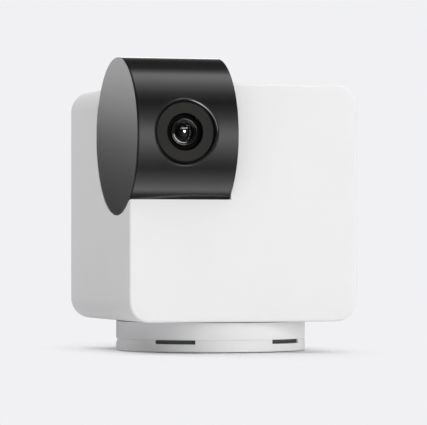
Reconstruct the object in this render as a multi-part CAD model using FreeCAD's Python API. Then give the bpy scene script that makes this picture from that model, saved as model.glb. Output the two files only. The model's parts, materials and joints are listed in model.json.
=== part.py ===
import FreeCAD
import Part

import math
import os

from FreeCAD import Rotation, Vector

# A pan and tilt pet camera: a rounded-square body turns on a round base, and a lens drum set in the body's
# top front corner tilts about a sideways axis. Millimetres, +Z up, the front faces -Y, and the origin is
# the middle of the base on the surface it stands on.

# Body: a square box, open at the back, whose corners are round seen from the front
BODY_WIDTH = 80.0
BODY_DEPTH = 78.6
BODY_HEIGHT = 80.0
BODY_CORNER_RADIUS = 7.2
BODY_EDGE_RADIUS = 0.9
BODY_WALL = 2.0
BODY_LIFT = 10.6  # underside of the body above the table

# Rear cover, set in from the body's back rim
COVER_WALL = 2.0
COVER_INSET = 0.6
COVER_CLEARANCE = 0.12
COVER_SCREW_INSET = 6.5  # screw axis in from the body's outer sides
COVER_BOSS_RADIUS = 3.0
COVER_BOSS_LENGTH = 12.0
COVER_BOSS_WEB = 1.6
COVER_LEDGE_WALL = 1.0

# Base: a round tray and a cover over it, meeting at a seam
BASE_RADIUS = 32.7
BASE_WALL = 2.0
BASE_SEAM_HEIGHT = 4.3
BASE_TOP_HEIGHT = 10.2
BASE_PLATE = 1.8
TRAY_FLOOR = 1.6
TRAY_EDGE_CHAMFER = 0.25
SEAM_CHAMFER = 0.2  # on both halves, so that the seam shows as a fine groove
FOOT_PROUD = 0.3
FOOT_SEAT_DEPTH = 0.8
FOOT_OUTER_RADIUS = 25.6
FOOT_INNER_RADIUS = 21.6
VENT_CENTRE_ANGLES = (-53.7, -129.0, 20.0, 160.0)  # from +X, so two face forward and two back
VENT_ARC = 26.4
VENT_HEIGHT = 1.4
MESH_THICKNESS = 0.5
MESH_GAP = 0.15
MESH_RISE = 0.9  # how far the mesh reaches above the seam
MESH_PAD_DEPTH = 0.5  # of the mesh's face in a vent, behind the base's wall
MESH_PAD_GAP = 0.08
BASE_SCREW_CIRCLE = 17.0
BASE_SCREW_ANGLES = (30.0, 150.0, 270.0)
BASE_PILLAR_RADIUS = 2.7
BASE_PILLAR_ROOT = 0.5  # how far a pillar is sunk into the plate above it
BASE_SCREW_SINK = 1.5  # of the head's seat above the tray's underside
BASE_SCREW_BOSS_WALL = 0.9
BASE_SCREW_BOSS_HEIGHT = 0.9  # above the tray's floor
BASE_SCREW_LENGTH = 5.5
PILLAR_GAP = 0.2
BALLAST_THICKNESS = 1.5
BALLAST_RIM_GAP = 1.0
BALLAST_BORE_GAP = 1.5

# Mounting thread under the base, 1/4 inch camera thread at its major radius
THREAD_RADIUS = 3.175
INSERT_RADIUS = 5.0
INSERT_LENGTH = 4.6
INSERT_BOSS_WALL = 1.6

# Power inlet in the back of the base
PORT_WIDTH = 8.94
PORT_HEIGHT = 3.26
PORT_LENGTH = 7.3
PORT_SHELL = 0.3
PORT_HEIGHT_CENTRE = 4.75
PORT_PROUD = 0.5
TONGUE_WIDTH = 6.7
TONGUE_THICKNESS = 0.7
RECESS_WIDTH = 13.2
RECESS_DROP = 3.4  # from the inlet's centre down to the recess's floor
RECESS_DEPTH = 5.2
BEZEL_WALL = 1.2
INLET_END_WALL = 1.0
INLET_FLAT = 0.35  # half the flat left on the inlet's rounded ends
TONGUE_SET_BACK = 1.2
POWER_BOARD_WIDTH = 22.0
POWER_BOARD_BOSS_GAP = 0.5
POWER_BOARD_WALL_GAP = 0.3
INLET_FOOT_GAP = 0.02
BASE_SOCKET_WIDTH = 5.0
BASE_SOCKET_DEPTH = 3.0
BASE_SOCKET_HEIGHT = 2.6
BASE_SOCKET_EDGE_GAP = 0.5
COIL_SIZE = 4.0
COIL_HEIGHT = 2.2
COIL_X = 6.8
CAPACITOR_RADIUS = 1.2
CAPACITOR_HEIGHT = 2.4
CAPACITOR_X = -6.6
CAPACITOR_PITCH = 3.4
POWER_PARTS_Y = 15.4  # middle of the coil, from the base's axis

# Pan tower, bush and gears
TOWER_RADIUS = 10.0
TOWER_BORE = 6.5
SPIGOT_RADIUS = 8.0
BUSH_WALL = 1.8
BUSH_FLANGE = 1.2
BUSH_FLANGE_THICKNESS = 0.5
RUN_CLEARANCE = 0.05  # radial, where a shaft turns in a bush
FIT_GAP = 0.05  # between pieces that are pressed or glued together
AXIAL_GAP = 0.2
WASHER_INNER_RADIUS = 18.5
WASHER_OUTER_RADIUS = 24.0
WASHER_THICKNESS = 0.9
WASHER_GAP = 0.1
GEAR_MODULE = 0.6
PRESSURE_ANGLE = 20.0
ADDENDUM = 0.8  # stub teeth, in modules
DEDENDUM = 1.05
BACKLASH = 0.12
PAN_GEAR_TEETH = 52
PAN_PINION_TEETH = 16
PAN_PINION_ANGLE = 135.0  # where the motor stands about the tower
PAN_GEAR_THICKNESS = 3.6
KEY_WIDTH = 3.0
KEY_HEIGHT = 1.0
CLIP_THICKNESS = 0.7
CLIP_GROOVE_DEPTH = 0.6
CLIP_WIDTH = 1.7
CLIP_OPENING = 70.0  # degrees
SPIGOT_LIP = 0.6  # above the clip
PAN_PINION_HUB_RADIUS = 3.0
STOP_RADIUS = 15.0
STOP_GROOVE_WIDTH = 3.4
STOP_GROOVE_DEPTH = 1.1
STOP_WIDTH = 2.0
STOP_LUG_RISE = 1.1
STOP_LUG_RADIUS = 1.0

# Drum: the tilting camera head
DRUM_RADIUS = 26.4
DRUM_WALL = 1.8
DRUM_AXIS_BACK = 16.0  # behind the body's front face
DRUM_AXIS_DOWN = 17.4  # below the body's top face
DRUM_LENGTH = 34.8
DRUM_GAP = 0.45
DRUM_END_GAP = 0.5
POCKET_WALL = 1.8
CAP_THICKNESS = 1.2
CAP_RIM = 0.4  # its edge, outside the tube
CAP_CHAMFER = 0.12
CAP_SEAM = 0.2
CAP_LIP_LENGTH = 3.0
CAP_LIP_WALL = 1.2
REST_TILT = 1.6  # the lens looks up by this at rest
TILT_DOWN = 25.0  # below level
TILT_UP = 65.0  # above level
HUB_RADIUS = 9.0
HUB_BORE = 5.0
HUB_SPIGOT_RADIUS = 6.0
HUB_SCREW_CIRCLE = 7.4
HUB_SCREW_ANGLES = (90.0, 210.0, 330.0)
HUB_SCREW_BITE = 3.5
HUB_SPIGOT_SET_BACK = 0.2
TILT_BOSS_RADIUS = 13.0
TILT_BOSS_LENGTH = 3.2
TILT_GEAR_TEETH = 38
TILT_PINION_TEETH = 15
TILT_GEAR_THICKNESS = 3.6
TILT_PINION_ANGLE = -20.0  # of the motor about the drum's axis, from straight back, up positive
TILT_PINION_HUB_RADIUS = 2.8
TILT_STOP_CIRCLE = 15.6
TILT_STOP_RADIUS = 1.2
TILT_STOP_LENGTH = 1.9
TILT_STOP_ANGLE = -60.0  # of the peg with the lens level, from straight back, up positive
TILT_STOP_PLAY = 0.25
TILT_STOP_ROOT = 0.5  # how far the peg is sunk into the drum's end wall

# Lens and its surround
LENS_OFFSET = 16.9  # lens axis from the drum's left end
BARREL_RADIUS = 6.0
WINDOW_WIDTH = 3.5
WINDOW_BARREL_GAP = 0.25
HOOD_RIM = 0.55
LENS_HOLE_ROUNDING = 0.85
WINDOW_THICKNESS = 1.2
WINDOW_DEPTH = 2.0  # its face behind the drum's surface
HOOD_LENGTH = 4.2
HOOD_RIM_DROP = 0.4  # of its rim behind the window's face
HOOD_WALL = 1.0
HOOD_BACK_WALL = 0.8
HOOD_BORE_GAP = 0.1
BARREL_LENGTH = 8.5
BARREL_DEPTH = 3.1
NOSE_RADIUS = 4.5
NOSE_RIM = 0.45
NOSE_STEP = 0.9
GLASS_RADIUS = 3.35
GLASS_SINK = 0.55
GLASS_THICKNESS = 1.6
GLASS_CROWN = 0.7
GLASS_SEAT_LIP = 0.6
GLASS_PROUD = 0.55  # of the glass's crown ahead of the barrel's mouth
IRIS_THICKNESS = 0.4
IRIS_RADIUS = 1.2
IRIS_SEAT = 0.6
REAR_GLASS_GAP = 1.2
REAR_GLASS_THICKNESS = 2.2
REAR_GLASS_CROWN = 0.5
BARREL_BORE = 3.3

# Electronics
BOARD_THICKNESS = 1.0
MAIN_BOARD_THICKNESS = 1.4
MAIN_BOARD_END_GAP = 9.0  # to the housing's inner floor and roof, clear of the cover's bosses
MAIN_BOARD_SIDE_GAP = 7.3  # to the housing's inner front
MAIN_BOARD_STANDOFF = 5.6
MAIN_BOARD_SCREW_INSET = 4.0
STANDOFF_RADIUS = 2.5
SENSOR_BOARD_SIZE = 24.0
HOLDER_WALL = 1.0
HOLDER_DEPTH = 5.5
HOLDER_CORNER_RADIUS = 1.2
HOLDER_SEAT_GAP = 0.1
SENSOR_SIZE = 7.0
SENSOR_THICKNESS = 1.1
SENSOR_BARREL_GAP = 1.2
SENSOR_WELL_GAP = 0.6
FILTER_MARGIN = 0.4
FILTER_THICKNESS = 0.5
CARRIER_THICKNESS = 1.6
CARRIER_MARGIN = 1.0
CARRIER_FLANGE_RISE = 2.5
CARRIER_FLANGE_BACK = 6.5  # behind the drum's axis
CARRIER_WINDOW_GAP = 1.0
CARRIER_SCREW_CIRCLE = 12.5
CARRIER_SCREW_ANGLES = (90.0, 270.0)
CARRIER_SCREW_BITE = 1.2
CARRIER_HOLE_FLOOR = 0.3
LEAD_HOLE_RADIUS = 2.1
LED_SIZE = 1.8
LED_HEIGHT = 1.3
LED_BARREL_GAP = 0.7
LED_WINDOW_GAP = 0.3
LED_ANGLES = (45.0, 135.0, 225.0, 315.0)
LAMP_BOARD_THICKNESS = 0.8
LAMP_BOARD_RIM_GAP = 1.4
LAMP_BOARD_BARREL_GAP = 0.4
PROCESSOR_CAN_SIZE = 20.0
PROCESSOR_CAN_HEIGHT = 2.0
PROCESSOR_BELOW_TOP = 28.6  # its centre below the body's top face
HEAT_SINK_SIZE = 18.0
HEAT_SINK_BASE = 1.4
FIN_HEIGHT = 4.0
FIN_THICKNESS = 1.0
FIN_COUNT = 6
SOCKET_WIDTH = 7.0
SOCKET_HEIGHT = 4.0
SOCKET_DEPTH = 4.0
CAMERA_SOCKET_DROP = 24.0  # below the drum's axis
LOWER_SOCKET_RISE = 13.0  # above the tower's shoulder
SPEAKER_SOCKET_Y = 14.0
SWITCH_WIDTH = 6.0
SWITCH_DEPTH = 3.5
SWITCH_HEIGHT = 4.0
PLUNGER_RADIUS = 1.0
PLUNGER_LENGTH = 1.2
MIC_RADIUS = 1.9
MIC_HEIGHT = 1.1
AERIAL_THICKNESS = 0.6
AERIAL_LENGTH = 24.0
AERIAL_HEIGHT = 8.0
AERIAL_BACK_GAP = 5.3  # to the inside of the housing's back rim
AERIAL_FLOOR_GAP = 7.4

# Motors
PAN_MOTOR_RADIUS = 12.0
PAN_MOTOR_LENGTH = 15.0
TILT_MOTOR_RADIUS = 10.0
TILT_MOTOR_LENGTH = 14.0
MOTOR_SHAFT_RADIUS = 1.5
MOTOR_CHAMFER = 0.6
MOTOR_COLLAR_RADIUS = 4.0
MOTOR_COLLAR_LENGTH = 1.0
SHAFT_REACH = 1.8  # of the shaft into the can, past the ears' seat
SHAFT_HOLE_DEPTH = 4.0
EAR_THICKNESS = 0.8
EAR_RADIUS = 3.2
EAR_OVERHANG = 3.5  # ear screw axis beyond the can

# Screws, all self-tapping pan heads
SCREW_RADIUS = 1.0
SCREW_HEAD_RADIUS = 1.9
SCREW_HEAD_HEIGHT = 1.2
SCREW_HEAD_CHAMFER = 0.4
SCREW_GAP = 0.06
HEAD_GAP = 0.2  # round a sunk head
COVER_SCREW_LENGTH = 8.0
COVER_SCREW_HOLE = 9.0
BOARD_SCREW_BITE = 4.5
BOARD_SCREW_HOLE = 5.0
PAN_EAR_SCREW_LENGTH = 5.5
TILT_EAR_SCREW_LENGTH = 6.0
HUB_SCREW_HOLE = 4.0

# Speaker and rear openings
SPEAKER_RADIUS = 14.0
SPEAKER_FLANGE = 1.2
SPEAKER_DEPTH = 6.4
SPEAKER_LIP = 2.0
SPEAKER_MAGNET_RADIUS = 8.0
SPEAKER_MAGNET_HEIGHT = 3.4
SPEAKER_BASKET_STEP = 1.0
CONE_GAP = 0.2
CONE_LIFT = 0.3
CONE_THICKNESS = 0.5
CONE_DEPTH = 1.3
CONE_DOME_RADIUS = 4.0
CONE_DOME_RISE = 0.5
SPEAKER_BELOW_TOP = 33.0  # its centre below the body's top face
GASKET_THICKNESS = 0.6
GASKET_WIDTH = 2.5
SPEAKER_RIM = 1.2
GRILLE_HOLE_RADIUS = 0.75
GRILLE_PITCH = 3.0
GRILLE_RINGS = 3
MIC_HOLE_RADIUS = 0.5
MIC_BELOW_TOP = 7.5
BUTTON_RADIUS = 2.0
BUTTON_GAP = 0.12
BUTTON_COLLAR = 0.7
BUTTON_COLLAR_THICKNESS = 0.8
BUTTON_GUIDE_WALL = 0.8
BUTTON_GUIDE_MARGIN = 1.0
BUTTON_STEM_RADIUS = 1.2
BUTTON_SINK = 0.1
BUTTON_SWITCH_GAP = 0.1
BUTTON_TRAVEL = 0.4
BUTTON_ABOVE_FLOOR = 22.0

X_AXIS, Y_AXIS, Z_AXIS = Vector(1, 0, 0), Vector(0, 1, 0), Vector(0, 0, 1)
THROUGH = 1.0  # how far a cutting tool runs past the face it leaves

# Places worked out from the sizes above
LEFT, RIGHT = -BODY_WIDTH / 2, BODY_WIDTH / 2
FRONT, BACK = -BODY_DEPTH / 2, BODY_DEPTH / 2
BODY_BOTTOM, BODY_TOP = BODY_LIFT, BODY_LIFT + BODY_HEIGHT
FLOOR_TOP = BODY_BOTTOM + BODY_WALL
COVER_FRONT = BACK - COVER_INSET - COVER_WALL
COVER_REAR = BACK - COVER_INSET
DRUM_Y = FRONT + DRUM_AXIS_BACK
DRUM_Z = BODY_TOP - DRUM_AXIS_DOWN
DRUM_LEFT, DRUM_RIGHT = LEFT, LEFT + DRUM_LENGTH
POCKET_RADIUS = DRUM_RADIUS + DRUM_GAP
POCKET_RIGHT = DRUM_RIGHT + DRUM_END_GAP
POCKET_BACK_FACE = POCKET_RIGHT + POCKET_WALL  # the side of the pocket's end wall inside the body
TILT_BOSS_END = POCKET_BACK_FACE + TILT_BOSS_LENGTH
SHELL_LEFT = DRUM_LEFT + CAP_RIM + CAP_SEAM
LENS_X = DRUM_LEFT + LENS_OFFSET
WINDOW_INNER_RADIUS = BARREL_RADIUS + WINDOW_BARREL_GAP
WINDOW_OUTER_RADIUS = WINDOW_INNER_RADIUS + WINDOW_WIDTH
LENS_HOLE_RADIUS = WINDOW_OUTER_RADIUS + HOOD_RIM
DRUM_NOSE = DRUM_Y - DRUM_RADIUS  # foremost line of the drum
TRAY_BOTTOM = FOOT_PROUD
TRAY_FLOOR_TOP = TRAY_BOTTOM + TRAY_FLOOR
PLATE_UNDERSIDE = BASE_TOP_HEIGHT - BASE_PLATE
POWER_BOARD_TOP = PORT_HEIGHT_CENTRE - PORT_HEIGHT / 2 - INLET_FOOT_GAP
POWER_BOARD_FRONT = INSERT_RADIUS + INSERT_BOSS_WALL + POWER_BOARD_BOSS_GAP
BUSH_TOP = FLOOR_TOP + BUSH_FLANGE_THICKNESS
SHOULDER = BUSH_TOP + AXIAL_GAP
PAN_GEAR_TOP = SHOULDER + PAN_GEAR_THICKNESS
PAN_CENTRES = GEAR_MODULE * (PAN_GEAR_TEETH + PAN_PINION_TEETH) / 2
TILT_CENTRES = GEAR_MODULE * (TILT_GEAR_TEETH + TILT_PINION_TEETH) / 2
TILT_GEAR_LEFT = TILT_BOSS_END + BUSH_FLANGE_THICKNESS + AXIAL_GAP
TILT_GEAR_RIGHT = TILT_GEAR_LEFT + TILT_GEAR_THICKNESS
SPEAKER_Z = BODY_TOP - SPEAKER_BELOW_TOP
BOARD_FACE = RIGHT - BODY_WALL - MAIN_BOARD_STANDOFF - MAIN_BOARD_THICKNESS
BOARD_FLOOR, BOARD_ROOF = FLOOR_TOP + MAIN_BOARD_END_GAP, BODY_TOP - BODY_WALL - MAIN_BOARD_END_GAP
BOARD_BACK = BODY_DEPTH / 2 - BODY_WALL - MAIN_BOARD_SIDE_GAP
PROCESSOR_Z = BODY_TOP - PROCESSOR_BELOW_TOP
BUTTON_X = BOARD_FACE - BUTTON_RADIUS
BUTTON_Z = BODY_BOTTOM + BUTTON_ABOVE_FLOOR


def block(x, y, z):
    """A box from the low and high value along each axis."""
    return Part.makeBox(x[1] - x[0], y[1] - y[0], z[1] - z[0], Vector(x[0], y[0], z[0]))


def rod(radius, start, length, axis=Z_AXIS):
    return Part.makeCylinder(radius, length, start, axis)


def ring(outer, inner, start, length, axis=Z_AXIS):
    return rod(outer, start, length, axis).cut(rod(inner, start, length, axis))


def turned(outline, origin, axis, side):
    """The closed outline of (radius, height) points, turned about the axis through origin."""
    points = [origin + side * radius + axis * height for radius, height in outline]
    face = Part.Face(Part.makePolygon(points + points[:1]))
    return face.revolve(origin, axis, 360)


def polar(radius, angle, z=0.0):
    """A point on a circle about the base's axis, its angle in degrees from +X."""
    turn = math.radians(angle)
    return Vector(radius * math.cos(turn), radius * math.sin(turn), z)


def about_drum(radius, angle, x=0.0):
    """A point on a circle about the drum's axis, its angle in degrees from straight back, up positive."""
    turn = math.radians(angle)
    return Vector(x, DRUM_Y + radius * math.cos(turn), DRUM_Z + radius * math.sin(turn))


def edges_along(shape, axis):
    return [e for e in shape.Edges if abs(e.tangentAt(e.FirstParameter).dot(axis)) > 0.999
            and e.Curve.TypeId == "Part::GeomLine"]


def edges_in_plane(shape, axis, height):
    """Edges that lie in the plane at this height along the axis."""
    return [e for e in shape.Edges
            if all(abs(v.Point.dot(axis) - height) < 1e-6 for v in e.Vertexes)
            and abs(e.CenterOfMass.dot(axis) - height) < 1e-6]


def fused(shapes):
    """One solid of shapes that touch or overlap."""
    return shapes[0].multiFuse(shapes[1:]).removeSplitter()


def screw(seat, into, length):
    """A pan-head screw: the head's underside is at seat and the shank runs along into."""
    head = rod(SCREW_HEAD_RADIUS, seat - into * SCREW_HEAD_HEIGHT, SCREW_HEAD_HEIGHT, into)
    rim = edges_in_plane(head, into, (seat - into * SCREW_HEAD_HEIGHT).dot(into))
    head = head.makeChamfer(SCREW_HEAD_CHAMFER, rim)
    return head.fuse(rod(SCREW_RADIUS, seat, length, into)).removeSplitter()


def screw_hole(seat, into, length):
    return rod(SCREW_RADIUS + SCREW_GAP, seat, length, into)


# ---------------------------------------------------------------- gears


def involute(angle):
    return math.tan(angle) - angle


def gear_wire(teeth):
    """Outline of a spur gear about the origin in the XY plane, with a tooth on +X."""
    pitch = GEAR_MODULE * teeth / 2
    base = pitch * math.cos(math.radians(PRESSURE_ANGLE))
    tip = pitch + ADDENDUM * GEAR_MODULE
    root = pitch - DEDENDUM * GEAR_MODULE
    half_at_pitch = math.pi / (2 * teeth) - BACKLASH / (4 * pitch)

    def half_tooth(radius):
        return half_at_pitch + involute(math.radians(PRESSURE_ANGLE)) - involute(math.acos(base / radius))

    def at(radius, angle):
        return Vector(radius * math.cos(angle), radius * math.sin(angle), 0)

    start = max(base, root)
    radii = [start + (tip - start) * step / 3 for step in range(4)]
    foot = half_tooth(start)
    pitch_angle = 2 * math.pi / teeth
    edges = []
    for tooth in range(teeth):
        middle = tooth * pitch_angle
        rising = [at(r, middle - half_tooth(r)) for r in radii]
        falling = [at(r, middle + half_tooth(r)) for r in reversed(radii)]
        for flank in (rising, falling):
            curve = Part.BSplineCurve()
            curve.interpolate(flank)
            if flank is rising and root < base:
                edges.append(Part.LineSegment(at(root, middle - foot), flank[0]).toShape())
            edges.append(curve.toShape())
            if flank is rising:
                edges.append(Part.Arc(rising[-1], at(tip, middle), falling[0]).toShape())
        if root < base:
            edges.append(Part.LineSegment(falling[-1], at(root, middle + foot)).toShape())
        gap = Part.Arc(at(root, middle + foot), at(root, middle + pitch_angle / 2),
                       at(root, middle + pitch_angle - foot))
        edges.append(gap.toShape())
    return Part.Wire(edges)


def gear(teeth, thickness, origin, axis, tooth_direction):
    """A spur gear whose lower face is centred on origin, with a tooth pointing along tooth_direction."""
    solid = Part.Face(gear_wire(teeth)).extrude(Z_AXIS * thickness)
    turn = Rotation(tooth_direction, axis.cross(tooth_direction), axis, "ZXY")
    solid.Placement = FreeCAD.Placement(origin, turn)
    return solid


def pinion(teeth, thickness, origin, axis, towards_gear):
    """A gear turned half a tooth, so that a gap faces the wheel it meshes with."""
    tooth_direction = Rotation(axis, 180.0 / teeth).multVec(towards_gear)
    return gear(teeth, thickness, origin, axis, tooth_direction)


# ---------------------------------------------------------------- body


def body_block(inset, y):
    """The body's block between two depths, drawn in by inset on its four sides."""
    solid = block((LEFT + inset, RIGHT - inset), y, (BODY_BOTTOM + inset, BODY_TOP - inset))
    return solid.makeFillet(BODY_CORNER_RADIUS - inset, edges_along(solid, Y_AXIS))


def cover_screw_places():
    x = BODY_WIDTH / 2 - COVER_SCREW_INSET
    low, high = BODY_BOTTOM + COVER_SCREW_INSET, BODY_TOP - COVER_SCREW_INSET
    return [(-x, low), (x, low), (-x, high), (x, high)]


def board_screw_places():
    y = BOARD_BACK - MAIN_BOARD_SCREW_INSET
    low, high = BOARD_FLOOR + MAIN_BOARD_SCREW_INSET, BOARD_ROOF - MAIN_BOARD_SCREW_INSET
    return [(-y, low), (y, low), (-y, high), (y, high)]


def tilt_stop_slot():
    """Curved slot in the pocket's end wall for the drum's stop peg, as long as its travel."""
    play = math.degrees((TILT_STOP_RADIUS + TILT_STOP_PLAY) / TILT_STOP_CIRCLE)
    # as the lens goes up, the peg goes from the back towards the bottom
    low = TILT_STOP_ANGLE - TILT_UP - play
    high = TILT_STOP_ANGLE + TILT_DOWN + play
    half_width = TILT_STOP_RADIUS + TILT_STOP_PLAY
    start = Vector(POCKET_RIGHT - THROUGH, DRUM_Y, DRUM_Z)
    length = POCKET_WALL + 2 * THROUGH
    band = ring(TILT_STOP_CIRCLE + half_width, TILT_STOP_CIRCLE - half_width, start, length, X_AXIS)
    reach = TILT_STOP_CIRCLE + half_width + THROUGH
    steps = max(2, math.ceil((high - low) / 60.0))
    corners = [start] + [
        about_drum(2 * reach, low + (high - low) * i / steps, start.x) for i in range(steps + 1)
    ]
    fan = Part.Face(Part.makePolygon(corners + corners[:1])).extrude(X_AXIS * length)
    return band.common(fan)


def pan_motor_axis():
    return polar(PAN_CENTRES, PAN_PINION_ANGLE)


def pan_ear_places():
    """Ear screw axes each side of the pan motor, square to the line to the tower."""
    centre = pan_motor_axis()
    sideways = polar(PAN_MOTOR_RADIUS + EAR_OVERHANG, PAN_PINION_ANGLE + 90)
    return [centre + sideways, centre - sideways]


def pan_ear_height():
    return PAN_GEAR_TOP + CLIP_THICKNESS + MOTOR_COLLAR_LENGTH + AXIAL_GAP


def tilt_motor_face():
    return TILT_GEAR_RIGHT + SCREW_HEAD_HEIGHT + MOTOR_COLLAR_LENGTH + AXIAL_GAP


def tilt_motor_axis(x):
    return about_drum(TILT_CENTRES, TILT_PINION_ANGLE, x)


def tilt_ear_places(x):
    """Ear screw axes each side of the tilt motor, square to the line to the drum's axis."""
    centre = tilt_motor_axis(x)
    line = about_drum(1.0, TILT_PINION_ANGLE + 90, 0.0) - Vector(0, DRUM_Y, DRUM_Z)
    reach = line * (TILT_MOTOR_RADIUS + EAR_OVERHANG)
    return [centre + reach, centre - reach]


def housing_shell():
    """The one-piece white case: front, sides, floor, and the round pocket that the drum lies in."""
    shell = body_block(0.0, (FRONT, BACK))
    shell = shell.makeFillet(BODY_EDGE_RADIUS, edges_in_plane(shell, Y_AXIS, FRONT)
                             + edges_in_plane(shell, Y_AXIS, BACK))
    cavity = body_block(BODY_WALL, (FRONT + BODY_WALL, BACK + THROUGH))
    drum_axis = Vector(LEFT - THROUGH, DRUM_Y, DRUM_Z)
    pocket_length = POCKET_RIGHT - drum_axis.x
    cavity = cavity.cut(rod(POCKET_RADIUS + POCKET_WALL, drum_axis, pocket_length + POCKET_WALL, X_AXIS))
    ledge = body_block(BODY_WALL - THROUGH, (COVER_FRONT - BODY_WALL, COVER_FRONT)).cut(
        body_block(BODY_WALL + COVER_LEDGE_WALL, (COVER_FRONT - 2 * BODY_WALL, BACK)))
    cavity = cavity.cut(ledge)
    for x, z in cover_screw_places():
        start = Vector(x, COVER_FRONT - COVER_BOSS_LENGTH, z)
        cavity = cavity.cut(rod(COVER_BOSS_RADIUS, start, COVER_BOSS_LENGTH, Y_AXIS))
        web = block((x, RIGHT) if x > 0 else (LEFT, x), (start.y, COVER_FRONT),
                    (z - COVER_BOSS_WEB / 2, z + COVER_BOSS_WEB / 2))
        cavity = cavity.cut(web)
    for y, z in board_screw_places():
        start = Vector(RIGHT - BODY_WALL + THROUGH, y, z)
        cavity = cavity.cut(rod(STANDOFF_RADIUS, start, MAIN_BOARD_STANDOFF + THROUGH, -X_AXIS))
    for place in pan_ear_places():
        start = Vector(place.x, place.y, BODY_BOTTOM)
        cavity = cavity.cut(rod(EAR_RADIUS, start, pan_ear_height() - BODY_BOTTOM))
    boss_start = Vector(POCKET_RIGHT, DRUM_Y, DRUM_Z)
    boss_length = POCKET_WALL + TILT_BOSS_LENGTH
    cavity = cavity.cut(rod(TILT_BOSS_RADIUS, boss_start, boss_length, X_AXIS))
    for place in tilt_ear_places(POCKET_RIGHT):
        cavity = cavity.cut(rod(EAR_RADIUS, place, tilt_motor_face() - POCKET_RIGHT, X_AXIS))
    shell = shell.cut(cavity)

    pocket = rod(POCKET_RADIUS, drum_axis, pocket_length, X_AXIS)
    tilt_bore = rod(HUB_RADIUS + BUSH_WALL, boss_start - X_AXIS * THROUGH, boss_length + 2 * THROUGH, X_AXIS)
    pan_bore = rod(TOWER_RADIUS + BUSH_WALL, Vector(0, 0, BODY_BOTTOM - THROUGH), BODY_WALL + 2 * THROUGH)
    groove = ring(STOP_RADIUS + STOP_GROOVE_WIDTH / 2, STOP_RADIUS - STOP_GROOVE_WIDTH / 2,
                  Vector(0, 0, BODY_BOTTOM - THROUGH), THROUGH + STOP_GROOVE_DEPTH)
    rib = block((-STOP_WIDTH / 2, STOP_WIDTH / 2), (-STOP_RADIUS - STOP_GROOVE_WIDTH, 0),
                (BODY_BOTTOM - THROUGH, BODY_BOTTOM + 2 * THROUGH))
    tools = [pocket, tilt_bore, pan_bore, groove.cut(rib), tilt_stop_slot()]
    for x, z in cover_screw_places():
        tools.append(screw_hole(Vector(x, COVER_FRONT + THROUGH, z), -Y_AXIS, COVER_SCREW_HOLE + THROUGH))
    for y, z in board_screw_places():
        start = Vector(RIGHT - BODY_WALL - MAIN_BOARD_STANDOFF - THROUGH, y, z)
        tools.append(screw_hole(start, X_AXIS, BOARD_SCREW_HOLE + THROUGH))
    for place in pan_ear_places():
        start = Vector(place.x, place.y, pan_ear_height() + THROUGH)
        tools.append(screw_hole(start, -Z_AXIS, PAN_EAR_SCREW_LENGTH + THROUGH))
    for place in tilt_ear_places(tilt_motor_face() + THROUGH):
        tools.append(screw_hole(place, -X_AXIS, TILT_EAR_SCREW_LENGTH + THROUGH))
    return shell.cut(tools)


def grille_places():
    """Hole centres in rings about the speaker's axis, six more in each ring than in the last."""
    places = [(0.0, SPEAKER_Z)]
    for ring_number in range(1, GRILLE_RINGS + 1):
        count = 6 * ring_number
        for hole in range(count):
            turn = 2 * math.pi * hole / count
            places.append((ring_number * GRILLE_PITCH * math.cos(turn),
                           SPEAKER_Z + ring_number * GRILLE_PITCH * math.sin(turn)))
    return places


def rear_cover():
    """The plate that closes the back, with the speaker's grille, its rim, and the button's guide."""
    plate = body_block(BODY_WALL + COVER_CLEARANCE, (COVER_FRONT, COVER_REAR))
    rim_depth = GASKET_THICKNESS + SPEAKER_FLANGE + SPEAKER_BASKET_STEP
    rim = ring(SPEAKER_RADIUS + FIT_GAP + SPEAKER_RIM, SPEAKER_RADIUS + FIT_GAP,
               Vector(0, COVER_FRONT - rim_depth, SPEAKER_Z), rim_depth + COVER_WALL / 2, Y_AXIS)
    guide_inner = BUTTON_RADIUS + BUTTON_COLLAR + BUTTON_GAP
    guide_depth = BUTTON_COLLAR_THICKNESS + BUTTON_TRAVEL + BUTTON_GUIDE_MARGIN
    guide = ring(guide_inner + BUTTON_GUIDE_WALL, guide_inner,
                 Vector(BUTTON_X, COVER_FRONT - guide_depth, BUTTON_Z), guide_depth, Y_AXIS)
    solid = fused([plate, rim, guide])
    through = COVER_WALL + 2 * THROUGH
    tools = [rod(GRILLE_HOLE_RADIUS, Vector(x, COVER_FRONT - THROUGH, z), through, Y_AXIS)
             for x, z in grille_places()]
    mic_z = BODY_TOP - MIC_BELOW_TOP
    tools.append(rod(MIC_HOLE_RADIUS, Vector(0, COVER_FRONT - THROUGH, mic_z), through, Y_AXIS))
    button_start = Vector(BUTTON_X, COVER_FRONT - THROUGH, BUTTON_Z)
    tools.append(rod(BUTTON_RADIUS + BUTTON_GAP, button_start, through, Y_AXIS))
    for x, z in cover_screw_places():
        tools.append(screw_hole(Vector(x, COVER_REAR + THROUGH, z), -Y_AXIS, through))
        tools.append(rod(SCREW_HEAD_RADIUS + HEAD_GAP, Vector(x, COVER_REAR + THROUGH, z),
                         SCREW_HEAD_HEIGHT + THROUGH, -Y_AXIS))
    return solid.cut(tools)


def cover_screws():
    seat = COVER_REAR - SCREW_HEAD_HEIGHT
    return [screw(Vector(x, seat, z), -Y_AXIS, COVER_SCREW_LENGTH) for x, z in cover_screw_places()]


# ---------------------------------------------------------------- base


def vent_wedges(inner, outer, z, height, trim=0.0):
    """Wedges between two radii at the vents' places, each end drawn in by trim degrees."""
    wedges = []
    arc = VENT_ARC - 2 * trim
    for middle in VENT_CENTRE_ANGLES:
        sector = Part.makeCylinder(outer, height, Vector(0, 0, z), Z_AXIS, arc)
        sector.rotate(Vector(0, 0, 0), Z_AXIS, middle - arc / 2)
        wedges.append(sector.cut(rod(inner, Vector(0, 0, z - THROUGH), height + 2 * THROUGH)))
    return wedges


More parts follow.
